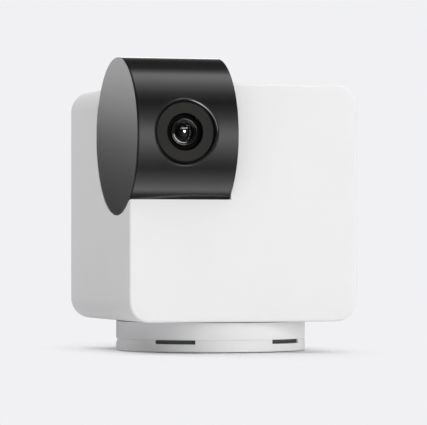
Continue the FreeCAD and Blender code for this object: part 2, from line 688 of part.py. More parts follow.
def recess_cut(bottom, top):
    """The gap in the base's back wall that the inlet's bezel fills, between two heights."""
    half = RECESS_WIDTH / 2 + BEZEL_WALL + FIT_GAP
    front = BASE_RADIUS - BASE_WALL - RECESS_DEPTH
    return block((-half, half), (front, BASE_RADIUS + THROUGH), (bottom, top))


def base_screw_places():
    return [polar(BASE_SCREW_CIRCLE, angle) for angle in BASE_SCREW_ANGLES]


def base_tray():
    """The lower half of the base: a shallow cup with vent notches in its rim."""
    outline = [(0, TRAY_BOTTOM), (BASE_RADIUS - TRAY_EDGE_CHAMFER, TRAY_BOTTOM),
               (BASE_RADIUS, TRAY_BOTTOM + TRAY_EDGE_CHAMFER), (BASE_RADIUS, BASE_SEAM_HEIGHT - SEAM_CHAMFER),
               (BASE_RADIUS - SEAM_CHAMFER, BASE_SEAM_HEIGHT), (BASE_RADIUS - BASE_WALL, BASE_SEAM_HEIGHT),
               (BASE_RADIUS - BASE_WALL, TRAY_FLOOR_TOP),
               (0, TRAY_FLOOR_TOP)]
    tray = turned(outline, Vector(0, 0, 0), Z_AXIS, X_AXIS)
    boss_top = TRAY_BOTTOM + INSERT_LENGTH + FIT_GAP + INSERT_BOSS_WALL / 2
    boss = rod(INSERT_RADIUS + INSERT_BOSS_WALL, Vector(0, 0, TRAY_BOTTOM), boss_top - TRAY_BOTTOM)
    screw_bosses = [rod(SCREW_HEAD_RADIUS + HEAD_GAP + BASE_SCREW_BOSS_WALL, place + Z_AXIS * TRAY_BOTTOM,
                        TRAY_FLOOR + BASE_SCREW_BOSS_HEIGHT) for place in base_screw_places()]
    tray = fused([tray, boss] + screw_bosses)
    tools = vent_wedges(BASE_RADIUS - 2 * BASE_WALL, BASE_RADIUS + THROUGH,
                        BASE_SEAM_HEIGHT - VENT_HEIGHT, VENT_HEIGHT + THROUGH)
    tools.append(ring(FOOT_OUTER_RADIUS, FOOT_INNER_RADIUS, Vector(0, 0, TRAY_BOTTOM - THROUGH),
                      THROUGH + FOOT_SEAT_DEPTH))
    tools.append(rod(INSERT_RADIUS + FIT_GAP, Vector(0, 0, TRAY_BOTTOM - THROUGH),
                     THROUGH + INSERT_LENGTH + FIT_GAP))
    tools.append(recess_cut(PORT_HEIGHT_CENTRE - RECESS_DROP, BASE_SEAM_HEIGHT + THROUGH))
    for place in base_screw_places():
        tools.append(screw_hole(place, Z_AXIS, BASE_SEAM_HEIGHT))
        tools.append(rod(SCREW_HEAD_RADIUS + HEAD_GAP, place, TRAY_BOTTOM + BASE_SCREW_SINK))
    return tray.cut(tools)


def base_cover():
    """The upper half of the base, with the hollow tower that the body turns on."""
    plate = rod(BASE_RADIUS, Vector(0, 0, BASE_SEAM_HEIGHT), BASE_TOP_HEIGHT - BASE_SEAM_HEIGHT)
    plate = plate.makeChamfer(SEAM_CHAMFER, edges_in_plane(plate, Z_AXIS, BASE_SEAM_HEIGHT))
    plate = plate.cut(rod(BASE_RADIUS - BASE_WALL, Vector(0, 0, BASE_SEAM_HEIGHT - THROUGH),
                          PLATE_UNDERSIDE - BASE_SEAM_HEIGHT + THROUGH))
    tower = rod(TOWER_RADIUS, Vector(0, 0, PLATE_UNDERSIDE), SHOULDER - PLATE_UNDERSIDE)
    clip_foot = PAN_GEAR_TOP + FIT_GAP
    spigot_top = clip_foot + CLIP_THICKNESS + FIT_GAP + SPIGOT_LIP
    spigot = rod(SPIGOT_RADIUS, Vector(0, 0, SHOULDER), spigot_top - SHOULDER)
    groove = ring(SPIGOT_RADIUS + THROUGH, SPIGOT_RADIUS - CLIP_GROOVE_DEPTH,
                  Vector(0, 0, clip_foot), CLIP_THICKNESS + FIT_GAP)
    keys = block((-SPIGOT_RADIUS - KEY_HEIGHT, SPIGOT_RADIUS + KEY_HEIGHT),
                 (-KEY_WIDTH / 2, KEY_WIDTH / 2), (SHOULDER, SHOULDER + PAN_GEAR_THICKNESS / 2))
    lug = rod(STOP_LUG_RADIUS, Vector(0, STOP_RADIUS, PLATE_UNDERSIDE), BASE_PLATE + STOP_LUG_RISE)
    pillar_foot = TRAY_FLOOR_TOP + BASE_SCREW_BOSS_HEIGHT + FIT_GAP
    pillar_height = PLATE_UNDERSIDE + BASE_PILLAR_ROOT - pillar_foot
    pillars = [rod(BASE_PILLAR_RADIUS, place + Z_AXIS * pillar_foot, pillar_height)
               for place in base_screw_places()]
    cover = fused([plate, tower, spigot.cut(groove), keys, lug] + pillars)
    bore_start = Vector(0, 0, PLATE_UNDERSIDE - THROUGH)
    tools = [rod(TOWER_BORE, bore_start, spigot_top - PLATE_UNDERSIDE + 2 * THROUGH),
             ring(WASHER_OUTER_RADIUS + FIT_GAP, WASHER_INNER_RADIUS - FIT_GAP,
                  Vector(0, 0, BODY_BOTTOM - WASHER_GAP - WASHER_THICKNESS), BODY_BOTTOM),
             recess_cut(BASE_SEAM_HEIGHT - THROUGH, PLATE_UNDERSIDE)]
    for place in base_screw_places():
        tools.append(screw_hole(place, Z_AXIS, PLATE_UNDERSIDE - SCREW_GAP))
    return cover.cut(tools)


def foot_pad():
    return ring(FOOT_OUTER_RADIUS - FIT_GAP, FOOT_INNER_RADIUS + FIT_GAP, Vector(0, 0, 0),
                FOOT_PROUD + FOOT_SEAT_DEPTH - FIT_GAP)


def vent_mesh():
    """Dark mesh strip inside the base's wall, broken at the inlet, with a pad that fills each vent notch."""
    outer = BASE_RADIUS - BASE_WALL - MESH_GAP
    height = BASE_SEAM_HEIGHT + MESH_RISE - TRAY_FLOOR_TOP
    strip = ring(outer, outer - MESH_THICKNESS, Vector(0, 0, TRAY_FLOOR_TOP), height)
    strip = strip.cut(recess_cut(TRAY_FLOOR_TOP - THROUGH, TRAY_FLOOR_TOP + height + THROUGH))
    trim = math.degrees(MESH_PAD_GAP / BASE_RADIUS)
    pads = vent_wedges(outer - MESH_THICKNESS / 2, BASE_RADIUS - MESH_PAD_DEPTH,
                       BASE_SEAM_HEIGHT - VENT_HEIGHT + MESH_PAD_GAP, VENT_HEIGHT - 2 * MESH_PAD_GAP, trim)
    return fused([strip] + pads)


def thread_insert():
    return ring(INSERT_RADIUS, THREAD_RADIUS, Vector(0, 0, TRAY_BOTTOM), INSERT_LENGTH)


def ballast_plate():
    """Steel ring under the base's top, which keeps the camera from tipping."""
    top = PLATE_UNDERSIDE - FIT_GAP
    foot = top - BALLAST_THICKNESS
    outer = BASE_RADIUS - BASE_WALL - RECESS_DEPTH - BALLAST_RIM_GAP
    plate = ring(outer, TOWER_RADIUS + BALLAST_BORE_GAP, Vector(0, 0, foot), BALLAST_THICKNESS)
    return plate.cut([rod(BASE_PILLAR_RADIUS + PILLAR_GAP, place + Z_AXIS * (foot - THROUGH),
                          BALLAST_THICKNESS + 2 * THROUGH) for place in base_screw_places()])


def base_screws():
    seat = TRAY_BOTTOM + BASE_SCREW_SINK
    return [screw(place + Z_AXIS * seat, Z_AXIS, BASE_SCREW_LENGTH) for place in base_screw_places()]


def port_bezel():
    """Plastic surround of the inlet: two cheeks and a back wall with the inlet's opening."""
    half = RECESS_WIDTH / 2 + BEZEL_WALL
    front = BASE_RADIUS - BASE_WALL - RECESS_DEPTH + FIT_GAP
    bottom = PORT_HEIGHT_CENTRE - RECESS_DROP + FIT_GAP
    top = PLATE_UNDERSIDE - FIT_GAP
    solid = block((-half, half), (front, BASE_RADIUS + THROUGH), (bottom, top))
    solid = solid.common(rod(BASE_RADIUS, Vector(0, 0, 0), BASE_TOP_HEIGHT))
    opening = RECESS_WIDTH / 2
    solid = solid.cut(block((-opening, opening), (front + BEZEL_WALL, BASE_RADIUS + THROUGH),
                            (bottom - THROUGH, top + THROUGH)))
    return solid.cut(inlet_block(FIT_GAP, front - THROUGH, front + BEZEL_WALL + THROUGH))


def inlet_block(grow, front, back):
    """The inlet's rounded outline between two depths, grown all round."""
    half_width, half_height = PORT_WIDTH / 2 + grow, PORT_HEIGHT / 2 + grow
    solid = block((-half_width, half_width), (front, back),
                  (PORT_HEIGHT_CENTRE - half_height, PORT_HEIGHT_CENTRE + half_height))
    return solid.makeFillet(half_height - INLET_FLAT, edges_along(solid, Y_AXIS))


def inlet_span():
    back = BASE_RADIUS - BASE_WALL - RECESS_DEPTH + BEZEL_WALL + PORT_PROUD
    return back - PORT_LENGTH, back


def usb_inlet():
    """Folded steel shell of the power inlet, closed at its inner end."""
    front, back = inlet_span()
    return inlet_block(0.0, front, back).cut(inlet_block(-PORT_SHELL, front + INLET_END_WALL, back + THROUGH))


def usb_tongue():
    """The contact tongue in the middle of the inlet."""
    front, back = inlet_span()
    return block((-TONGUE_WIDTH / 2, TONGUE_WIDTH / 2), (front + INLET_END_WALL, back - TONGUE_SET_BACK),
                 (PORT_HEIGHT_CENTRE - TONGUE_THICKNESS / 2, PORT_HEIGHT_CENTRE + TONGUE_THICKNESS / 2))


def power_board():
    """The board under the inlet, on the tray's floor."""
    back = BASE_RADIUS - BASE_WALL - RECESS_DEPTH - POWER_BOARD_WALL_GAP
    return block((-POWER_BOARD_WIDTH / 2, POWER_BOARD_WIDTH / 2), (POWER_BOARD_FRONT, back),
                 (POWER_BOARD_TOP - BOARD_THICKNESS, POWER_BOARD_TOP))


def power_parts():
    """What stands on the power board: a lead socket, a coil and two capacitors."""
    socket_front = POWER_BOARD_FRONT + BASE_SOCKET_EDGE_GAP
    socket = block((-BASE_SOCKET_WIDTH / 2, BASE_SOCKET_WIDTH / 2),
                   (socket_front, socket_front + BASE_SOCKET_DEPTH),
                   (POWER_BOARD_TOP, POWER_BOARD_TOP + BASE_SOCKET_HEIGHT))
    half = COIL_SIZE / 2
    coil = block((COIL_X - half, COIL_X + half), (POWER_PARTS_Y - half, POWER_PARTS_Y + half),
                 (POWER_BOARD_TOP, POWER_BOARD_TOP + COIL_HEIGHT))
    capacitors = [rod(CAPACITOR_RADIUS, Vector(CAPACITOR_X, y, POWER_BOARD_TOP), CAPACITOR_HEIGHT)
                  for y in (POWER_PARTS_Y - CAPACITOR_PITCH / 2, POWER_PARTS_Y + CAPACITOR_PITCH / 2)]
    return [socket, coil] + capacitors


# ---------------------------------------------------------------- pan drive


def thrust_washer():
    return ring(WASHER_OUTER_RADIUS, WASHER_INNER_RADIUS,
                Vector(0, 0, BODY_BOTTOM - WASHER_GAP - WASHER_THICKNESS), WASHER_THICKNESS)


def pan_bush():
    """Flanged bearing bush pressed into the body's floor."""
    inner = TOWER_RADIUS + RUN_CLEARANCE
    outer = TOWER_RADIUS + BUSH_WALL - FIT_GAP
    outline = [(inner, BODY_BOTTOM), (outer, BODY_BOTTOM), (outer, FLOOR_TOP),
               (outer + BUSH_FLANGE, FLOOR_TOP), (outer + BUSH_FLANGE, BUSH_TOP), (inner, BUSH_TOP)]
    return turned(outline, Vector(0, 0, 0), Z_AXIS, X_AXIS)


def pan_gear():
    """Fixed wheel on the tower, keyed to it; the pan pinion walks round it."""
    towards = polar(1.0, PAN_PINION_ANGLE)
    wheel = gear(PAN_GEAR_TEETH, PAN_GEAR_THICKNESS, Vector(0, 0, SHOULDER), Z_AXIS, towards)
    bore = rod(SPIGOT_RADIUS + FIT_GAP, Vector(0, 0, SHOULDER - THROUGH), PAN_GEAR_THICKNESS + 2 * THROUGH)
    reach, half = SPIGOT_RADIUS + KEY_HEIGHT + FIT_GAP, KEY_WIDTH / 2 + FIT_GAP
    keyway = block((-reach, reach), (-half, half), (SHOULDER - THROUGH, PAN_GEAR_TOP + THROUGH))
    return wheel.cut([bore, keyway])


def retaining_clip():
    """Open spring ring in the spigot's groove, over the wheel."""
    foot = PAN_GEAR_TOP + FIT_GAP
    inner = SPIGOT_RADIUS - CLIP_GROOVE_DEPTH + FIT_GAP
    sweep = 360 - CLIP_OPENING
    clip = Part.makeCylinder(inner + CLIP_WIDTH, CLIP_THICKNESS, Vector(0, 0, foot), Z_AXIS, sweep)
    clip.rotate(Vector(0, 0, 0), Z_AXIS, CLIP_OPENING / 2)
    return clip.cut(rod(inner, Vector(0, 0, foot - THROUGH), CLIP_THICKNESS + 2 * THROUGH))


def pan_pinion():
    centre = pan_motor_axis()
    foot = centre + Z_AXIS * SHOULDER
    wheel = pinion(PAN_PINION_TEETH, PAN_GEAR_THICKNESS, foot, Z_AXIS, polar(-1.0, PAN_PINION_ANGLE))
    hub_top = pan_ear_height() - MOTOR_COLLAR_LENGTH - AXIAL_GAP
    hub = rod(PAN_PINION_HUB_RADIUS, foot, hub_top - SHOULDER)
    hole_length = hub_top - SHOULDER + 2 * THROUGH
    shaft_hole = rod(MOTOR_SHAFT_RADIUS + FIT_GAP, foot - Z_AXIS * THROUGH, hole_length)
    return fused([wheel, hub]).cut(shaft_hole)


def motor(centre, axis, can_radius, can_length, ear_places):
    """A can-shaped stepper whose mounting ears' seat is at centre: the collar points against the axis."""
    can = rod(can_radius, centre + axis * EAR_THICKNESS, can_length, axis)
    rim = edges_in_plane(can, axis, (centre + axis * (EAR_THICKNESS + can_length)).dot(axis))
    can = can.makeChamfer(MOTOR_CHAMFER, rim)
    collar = rod(MOTOR_COLLAR_RADIUS, centre - axis * MOTOR_COLLAR_LENGTH, MOTOR_COLLAR_LENGTH, axis)
    line = (ear_places[0] - ear_places[1]).normalize()
    side = axis.cross(line)
    reach = (ear_places[0] - centre).Length
    corners = [centre + line * (reach * a) + side * (EAR_RADIUS * b)
               for a, b in ((1, 1), (-1, 1), (-1, -1), (1, -1))]
    strap = Part.Face(Part.makePolygon(corners + corners[:1])).extrude(axis * EAR_THICKNESS)
    ends = [rod(EAR_RADIUS, place, EAR_THICKNESS, axis) for place in ear_places]
    disc = rod(can_radius, centre, EAR_THICKNESS, axis)
    body = fused([can, disc, strap, collar] + ends)
    holes = [screw_hole(place - axis * THROUGH, axis, EAR_THICKNESS + 2 * THROUGH) for place in ear_places]
    return body.cut(holes)


def pan_motor():
    seat = pan_ear_height()
    places = [Vector(p.x, p.y, seat) for p in pan_ear_places()]
    body = motor(pan_motor_axis() + Z_AXIS * seat, Z_AXIS, PAN_MOTOR_RADIUS, PAN_MOTOR_LENGTH, places)
    start = pan_motor_axis() + Z_AXIS * (seat - MOTOR_COLLAR_LENGTH - THROUGH)
    return body.cut(rod(MOTOR_SHAFT_RADIUS + RUN_CLEARANCE, start, SHAFT_HOLE_DEPTH))


def pan_shaft():
    """The motor's shaft, pressed into the pan pinion."""
    length = pan_ear_height() + SHAFT_REACH - SHOULDER
    return rod(MOTOR_SHAFT_RADIUS, pan_motor_axis() + Z_AXIS * SHOULDER, length)


def tilt_bush():
    """Flanged bearing bush in the pocket's end wall, with its flange inside the body."""
    inner, outer = HUB_RADIUS + RUN_CLEARANCE, HUB_RADIUS + BUSH_WALL - FIT_GAP
    flange = outer + BUSH_FLANGE
    end = TILT_BOSS_END + BUSH_FLANGE_THICKNESS
    outline = [(inner, POCKET_RIGHT), (outer, POCKET_RIGHT), (outer, TILT_BOSS_END), (flange, TILT_BOSS_END),
               (flange, end), (inner, end)]
    return turned(outline, Vector(0, DRUM_Y, DRUM_Z), X_AXIS, Z_AXIS)


def tilt_gear_screw_places():
    """The hub's screw axes in the rest pose, since the wheel is modelled in mesh at rest."""
    return [about_drum(HUB_SCREW_CIRCLE, angle - REST_TILT, TILT_GEAR_RIGHT) for angle in HUB_SCREW_ANGLES]


def tilt_gear():
    """Wheel screwed to the end of the drum's hub, which also holds the drum in its bush."""
    towards = about_drum(1.0, TILT_PINION_ANGLE) - Vector(0, DRUM_Y, DRUM_Z)
    centre = Vector(TILT_GEAR_LEFT, DRUM_Y, DRUM_Z)
    wheel = gear(TILT_GEAR_TEETH, TILT_GEAR_THICKNESS, centre, X_AXIS, towards)
    through = TILT_GEAR_THICKNESS + 2 * THROUGH
    bore = rod(HUB_SPIGOT_RADIUS + FIT_GAP, centre - X_AXIS * THROUGH, through, X_AXIS)
    return wheel.cut([bore] + [screw_hole(place + X_AXIS * THROUGH, -X_AXIS, through)
                               for place in tilt_gear_screw_places()])


def tilt_gear_screws():
    return [screw(place, -X_AXIS, TILT_GEAR_THICKNESS + HUB_SCREW_BITE) for place in tilt_gear_screw_places()]


def tilt_pinion():
    foot = tilt_motor_axis(TILT_GEAR_LEFT)
    towards = (Vector(TILT_GEAR_LEFT, DRUM_Y, DRUM_Z) - foot).normalize()
    wheel = pinion(TILT_PINION_TEETH, TILT_GEAR_THICKNESS, foot, X_AXIS, towards)
    hub_length = tilt_motor_face() - MOTOR_COLLAR_LENGTH - AXIAL_GAP - TILT_GEAR_LEFT
    hub = rod(TILT_PINION_HUB_RADIUS, foot, hub_length, X_AXIS)
    shaft_hole = rod(MOTOR_SHAFT_RADIUS + FIT_GAP, foot - X_AXIS * THROUGH, hub_length + 2 * THROUGH, X_AXIS)
    return fused([wheel, hub]).cut(shaft_hole)


def tilt_motor():
    face = tilt_motor_face()
    body = motor(tilt_motor_axis(face), X_AXIS, TILT_MOTOR_RADIUS, TILT_MOTOR_LENGTH, tilt_ear_places(face))
    start = tilt_motor_axis(face - MOTOR_COLLAR_LENGTH - THROUGH)
    return body.cut(rod(MOTOR_SHAFT_RADIUS + RUN_CLEARANCE, start, SHAFT_HOLE_DEPTH, X_AXIS))


def tilt_shaft():
    length = tilt_motor_face() + SHAFT_REACH - TILT_GEAR_LEFT
    return rod(MOTOR_SHAFT_RADIUS, tilt_motor_axis(TILT_GEAR_LEFT), length, X_AXIS)


def motor_screws():
    """Ear screws of both motors."""
    up = [screw(Vector(p.x, p.y, pan_ear_height() + EAR_THICKNESS), -Z_AXIS, PAN_EAR_SCREW_LENGTH)
          for p in pan_ear_places()]
    side = [screw(p, -X_AXIS, TILT_EAR_SCREW_LENGTH)
            for p in tilt_ear_places(tilt_motor_face() + EAR_THICKNESS)]
    return up + side


# ---------------------------------------------------------------- drum, modelled level and tilted at the end


def drum_shell():
    """Gloss tube with a closed right end, the lens hole, the hub it turns on, and its stop peg."""
    inner = DRUM_RADIUS - DRUM_WALL
    end_wall = DRUM_RIGHT - DRUM_WALL
    hub_end = TILT_GEAR_LEFT
    spigot_end = TILT_GEAR_RIGHT - HUB_SPIGOT_SET_BACK
    outline = [(HUB_BORE, end_wall), (inner, end_wall), (inner, SHELL_LEFT), (DRUM_RADIUS, SHELL_LEFT),
               (DRUM_RADIUS, DRUM_RIGHT), (HUB_RADIUS, DRUM_RIGHT), (HUB_RADIUS, hub_end - FIT_GAP),
               (HUB_SPIGOT_RADIUS, hub_end - FIT_GAP), (HUB_SPIGOT_RADIUS, spigot_end),
               (HUB_BORE, spigot_end)]
    shell = turned(outline, Vector(0, DRUM_Y, DRUM_Z), X_AXIS, Z_AXIS)
    hole_start = Vector(LENS_X, DRUM_NOSE - THROUGH, DRUM_Z)
    shell = shell.cut(rod(LENS_HOLE_RADIUS, hole_start, DRUM_RADIUS, Y_AXIS))
    rim = [e for e in shell.Edges
           if abs(e.BoundBox.XLength - 2 * LENS_HOLE_RADIUS) < 0.5 and e.BoundBox.YMin < DRUM_NOSE + 0.1]
    shell = shell.makeFillet(LENS_HOLE_ROUNDING, rim)
    peg = rod(TILT_STOP_RADIUS, about_drum(TILT_STOP_CIRCLE, TILT_STOP_ANGLE, DRUM_RIGHT - TILT_STOP_ROOT),
              TILT_STOP_LENGTH + TILT_STOP_ROOT, X_AXIS)
    shell = fused([shell, peg])
    tools = [screw_hole(about_drum(HUB_SCREW_CIRCLE, angle, TILT_GEAR_LEFT), -X_AXIS, HUB_SCREW_HOLE)
             for angle in HUB_SCREW_ANGLES]
    tools += [screw_hole(place - X_AXIS * THROUGH, X_AXIS, DRUM_WALL + THROUGH - CARRIER_HOLE_FLOOR)
              for place in carrier_screw_places(end_wall)]
    return shell.cut(tools)


def drum_cap():
    """Flat end of the drum, flush with the body's left side, with a lip that plugs into the tube."""
    lip_outer = DRUM_RADIUS - DRUM_WALL - FIT_GAP
    lip_inner = lip_outer - CAP_LIP_WALL
    lip_end = SHELL_LEFT + CAP_LIP_LENGTH
    rim_back = DRUM_LEFT + CAP_RIM
    inside = DRUM_LEFT + CAP_THICKNESS
    outline = [(0, DRUM_LEFT), (DRUM_RADIUS - CAP_CHAMFER, DRUM_LEFT), (DRUM_RADIUS, DRUM_LEFT + CAP_CHAMFER),
               (DRUM_RADIUS, rim_back), (lip_outer, rim_back), (lip_outer, lip_end), (lip_inner, lip_end),
               (lip_inner, inside), (0, inside)]
    return turned(outline, Vector(0, DRUM_Y, DRUM_Z), X_AXIS, Z_AXIS)


def about_lens(outline):
    """A piece turned about the lens's axis, from (radius, depth behind the drum's foremost line) points."""
    return turned(outline, Vector(LENS_X, DRUM_NOSE, DRUM_Z), Y_AXIS, X_AXIS)


def ir_window():
    """Dark flat ring round the lens that the infrared lamps shine through."""
    back = WINDOW_DEPTH + WINDOW_THICKNESS
    return about_lens([(WINDOW_INNER_RADIUS, WINDOW_DEPTH), (WINDOW_OUTER_RADIUS, WINDOW_DEPTH),
                       (WINDOW_OUTER_RADIUS, back), (WINDOW_INNER_RADIUS, back)])


def lens_hood():
    """Black cup between the drum's hole and the window, which the window sits in."""
    outer = LENS_HOLE_RADIUS - FIT_GAP
    rim = WINDOW_DEPTH + HOOD_RIM_DROP
    seat = WINDOW_DEPTH + WINDOW_THICKNESS + FIT_GAP
    inner = WINDOW_OUTER_RADIUS + FIT_GAP
    bore = WINDOW_INNER_RADIUS + HOOD_BORE_GAP
    back = seat + HOOD_LENGTH
    floor = back - HOOD_BACK_WALL
    return about_lens([(inner, rim), (outer, rim), (outer, back), (bore, back), (bore, floor),
                       (outer - HOOD_WALL, floor), (outer - HOOD_WALL, seat), (inner, seat)])


def lens_barrel():
    """Threaded barrel of the lens, stepped at its nose and hollow behind the glass."""
    front = BARREL_DEPTH
    back = front + BARREL_LENGTH
    step = front + NOSE_STEP
    mouth = front + GLASS_SINK
    seat = mouth + GLASS_THICKNESS
    lip = GLASS_RADIUS - GLASS_SEAT_LIP
    return about_lens([(GLASS_RADIUS + FIT_GAP, mouth), (NOSE_RADIUS - NOSE_RIM, front), (NOSE_RADIUS, front),
                       (NOSE_RADIUS, step), (BARREL_RADIUS, step), (BARREL_RADIUS, back), (BARREL_BORE, back),
                       (BARREL_BORE, seat + IRIS_SEAT), (lip, seat + IRIS_SEAT), (lip, seat),
                       (GLASS_RADIUS + FIT_GAP, seat)])


def crowned_disc(radius, front, thickness, crown):
    """A lens element: a disc whose front face bulges forward by crown at its middle."""
    centre = Vector(LENS_X, DRUM_NOSE, DRUM_Z)
    rim_front = centre + Vector(radius, front + crown, 0)
    rim_back = centre + Vector(radius, front + thickness, 0)
    apex = centre + Vector(0, front, 0)
    heel = centre + Vector(0, front + thickness, 0)
    sphere_radius = (radius ** 2 + crown ** 2) / (2 * crown)
    half_turn = math.asin(radius / sphere_radius) / 2
    bulge = centre + Vector(sphere_radius * math.sin(half_turn),
                            front + sphere_radius * (1 - math.cos(half_turn)), 0)
    edges = [Part.Arc(apex, bulge, rim_front).toShape(), Part.makeLine(rim_front, rim_back),
             Part.makeLine(rim_back, heel), Part.makeLine(heel, apex)]
    return Part.Face(Part.Wire(edges)).revolve(centre, Y_AXIS, 360)


def front_glass():
    mouth = BARREL_DEPTH + GLASS_SINK
    thickness = GLASS_PROUD + GLASS_THICKNESS - FIT_GAP
    return crowned_disc(GLASS_RADIUS, mouth - GLASS_PROUD, thickness, GLASS_CROWN)


def lens_iris():
    """Thin black stop behind the front glass."""
    front = BARREL_DEPTH + GLASS_SINK + GLASS_THICKNESS + IRIS_SEAT + FIT_GAP
    rim, back = BARREL_BORE - FIT_GAP, front + IRIS_THICKNESS
    return about_lens([(IRIS_RADIUS, front), (rim, front), (rim, back), (IRIS_RADIUS, back)])


def rear_glass():
    front = BARREL_DEPTH + GLASS_SINK + GLASS_THICKNESS + IRIS_SEAT + REAR_GLASS_GAP
    return crowned_disc(BARREL_BORE - FIT_GAP, front, REAR_GLASS_THICKNESS, REAR_GLASS_CROWN)


def sensor_board_front():
    """Depth of the sensor board's front face behind the drum's foremost line."""
    return BARREL_DEPTH + BARREL_LENGTH + SENSOR_BARREL_GAP + SENSOR_THICKNESS


def lens_square(half, front, back):
    """A square block about the lens's axis between two depths."""
    return block((LENS_X - half, LENS_X + half), (DRUM_NOSE + front, DRUM_NOSE + back),
                 (DRUM_Z - half, DRUM_Z + half))


def lens_holder():
    """Square mount on the sensor board that the barrel screws into."""
    back = sensor_board_front()
    front = back - HOLDER_DEPTH
    mount = lens_square(BARREL_RADIUS + HOLDER_WALL, front, back)
    mount = mount.makeFillet(HOLDER_CORNER_RADIUS, edges_along(mount, Y_AXIS))
    bore = rod(BARREL_RADIUS + FIT_GAP, Vector(LENS_X, DRUM_NOSE + front - THROUGH, DRUM_Z),
               BARREL_DEPTH + BARREL_LENGTH + HOLDER_SEAT_GAP - front + THROUGH, Y_AXIS)
    well = lens_square(SENSOR_SIZE / 2 + SENSOR_WELL_GAP, BARREL_DEPTH + BARREL_LENGTH, back + THROUGH)
    return mount.cut([bore, well])


def image_sensor():
    back = sensor_board_front()
    return lens_square(SENSOR_SIZE / 2, back - SENSOR_THICKNESS, back)


def filter_glass():
    """Infrared-cut filter on top of the sensor."""
    back = sensor_board_front() - SENSOR_THICKNESS
    return lens_square(SENSOR_SIZE / 2 - FILTER_MARGIN, back - FILTER_THICKNESS, back)


def sensor_board():
    front = sensor_board_front()
    return lens_square(SENSOR_BOARD_SIZE / 2, front, front + BOARD_THICKNESS)


def lamp_board():
    """Ring-shaped board behind the window."""
    front = WINDOW_DEPTH + WINDOW_THICKNESS + LED_WINDOW_GAP + LED_HEIGHT
    back = front + LAMP_BOARD_THICKNESS
    outer, inner = LENS_HOLE_RADIUS - LAMP_BOARD_RIM_GAP, BARREL_RADIUS + LAMP_BOARD_BARREL_GAP
    return about_lens([(inner, front), (outer, front), (outer, back), (inner, back)])


def infrared_lamps():
    front = DRUM_NOSE + WINDOW_DEPTH + WINDOW_THICKNESS + LED_WINDOW_GAP
    half = LED_SIZE / 2
    circle = BARREL_RADIUS + LED_BARREL_GAP + half
    lamps = []
    for angle in LED_ANGLES:
        x = LENS_X + circle * math.cos(math.radians(angle))
        z = DRUM_Z + circle * math.sin(math.radians(angle))
        lamps.append(block((x - half, x + half), (front, front + LED_HEIGHT), (z - half, z + half)))
    return lamps


def carrier_screw_places(x):
    return [about_drum(CARRIER_SCREW_CIRCLE, angle, x) for angle in CARRIER_SCREW_ANGLES]


def camera_carrier():
    """Bent plate that holds the sensor board, screwed to the drum's end wall."""
    back = DRUM_NOSE + sensor_board_front() + BOARD_THICKNESS
    end_wall = DRUM_RIGHT - DRUM_WALL
    half = SENSOR_BOARD_SIZE / 2 + CARRIER_MARGIN
    flange_half = half + CARRIER_FLANGE_RISE
    through = CARRIER_THICKNESS + 2 * THROUGH
    plate = block((LENS_X - half, end_wall), (back, back + CARRIER_THICKNESS), (DRUM_Z - half, DRUM_Z + half))
    flange = block((end_wall - CARRIER_THICKNESS, end_wall), (back, DRUM_Y + CARRIER_FLANGE_BACK),
                   (DRUM_Z - flange_half, DRUM_Z + flange_half))
    bracket = fused([plate, flange])
    window_start = Vector(end_wall - CARRIER_THICKNESS - THROUGH, DRUM_Y, DRUM_Z)
    window = rod(HUB_BORE + CARRIER_WINDOW_GAP, window_start, through, X_AXIS)
    lead_hole = rod(LEAD_HOLE_RADIUS, Vector(LENS_X, back - THROUGH, DRUM_Z), through, Y_AXIS)
    holes = [screw_hole(place - X_AXIS * (CARRIER_THICKNESS + THROUGH), X_AXIS, through)
             for place in carrier_screw_places(end_wall)]
    return bracket.cut([window, lead_hole] + holes)


def carrier_screws():
    seat = DRUM_RIGHT - DRUM_WALL - CARRIER_THICKNESS
    length = CARRIER_THICKNESS + CARRIER_SCREW_BITE
    return [screw(place, X_AXIS, length) for place in carrier_screw_places(seat)]


# ---------------------------------------------------------------- body electronics


def main_board():
    board = block((BOARD_FACE, BOARD_FACE + MAIN_BOARD_THICKNESS), (-BOARD_BACK, BOARD_BACK),
                  (BOARD_FLOOR, BOARD_ROOF))
    through = MAIN_BOARD_THICKNESS + 2 * THROUGH
    return board.cut([screw_hole(Vector(BOARD_FACE - THROUGH, y, z), X_AXIS, through)
                      for y, z in board_screw_places()])


def board_screws():
    length = MAIN_BOARD_THICKNESS + BOARD_SCREW_BITE
    return [screw(Vector(BOARD_FACE, y, z), X_AXIS, length) for y, z in board_screw_places()]


def board_sockets():
    """Sockets on the main board for the camera's, the base's and the speaker's leads."""
    low = SHOULDER + LOWER_SOCKET_RISE
    places = [(DRUM_Y, DRUM_Z - CAMERA_SOCKET_DROP), (0.0, low), (SPEAKER_SOCKET_Y, low)]
    return [block((BOARD_FACE - SOCKET_DEPTH, BOARD_FACE), (y - SOCKET_WIDTH / 2, y + SOCKET_WIDTH / 2),
                  (z - SOCKET_HEIGHT / 2, z + SOCKET_HEIGHT / 2)) for y, z in places]


def about_processor(half, left, right):
    """A square block over the processor between two places along X."""
    return block((left, right), (-half, half), (PROCESSOR_Z - half, PROCESSOR_Z + half))


def processor_can():
    """Shielding can over the processor."""
    return about_processor(PROCESSOR_CAN_SIZE / 2, BOARD_FACE - PROCESSOR_CAN_HEIGHT, BOARD_FACE)


def heat_sink():
    """Finned aluminium block on the can."""
    half = HEAT_SINK_SIZE / 2
    face = BOARD_FACE - PROCESSOR_CAN_HEIGHT
    root = face - HEAT_SINK_BASE
    pitch = (HEAT_SINK_SIZE - FIN_THICKNESS) / (FIN_COUNT - 1)
    fins = [block((root - FIN_HEIGHT, root), (y, y + FIN_THICKNESS), (PROCESSOR_Z - half, PROCESSOR_Z + half))
            for y in (-half + fin * pitch for fin in range(FIN_COUNT))]
    return fused([about_processor(half, root, face)] + fins)


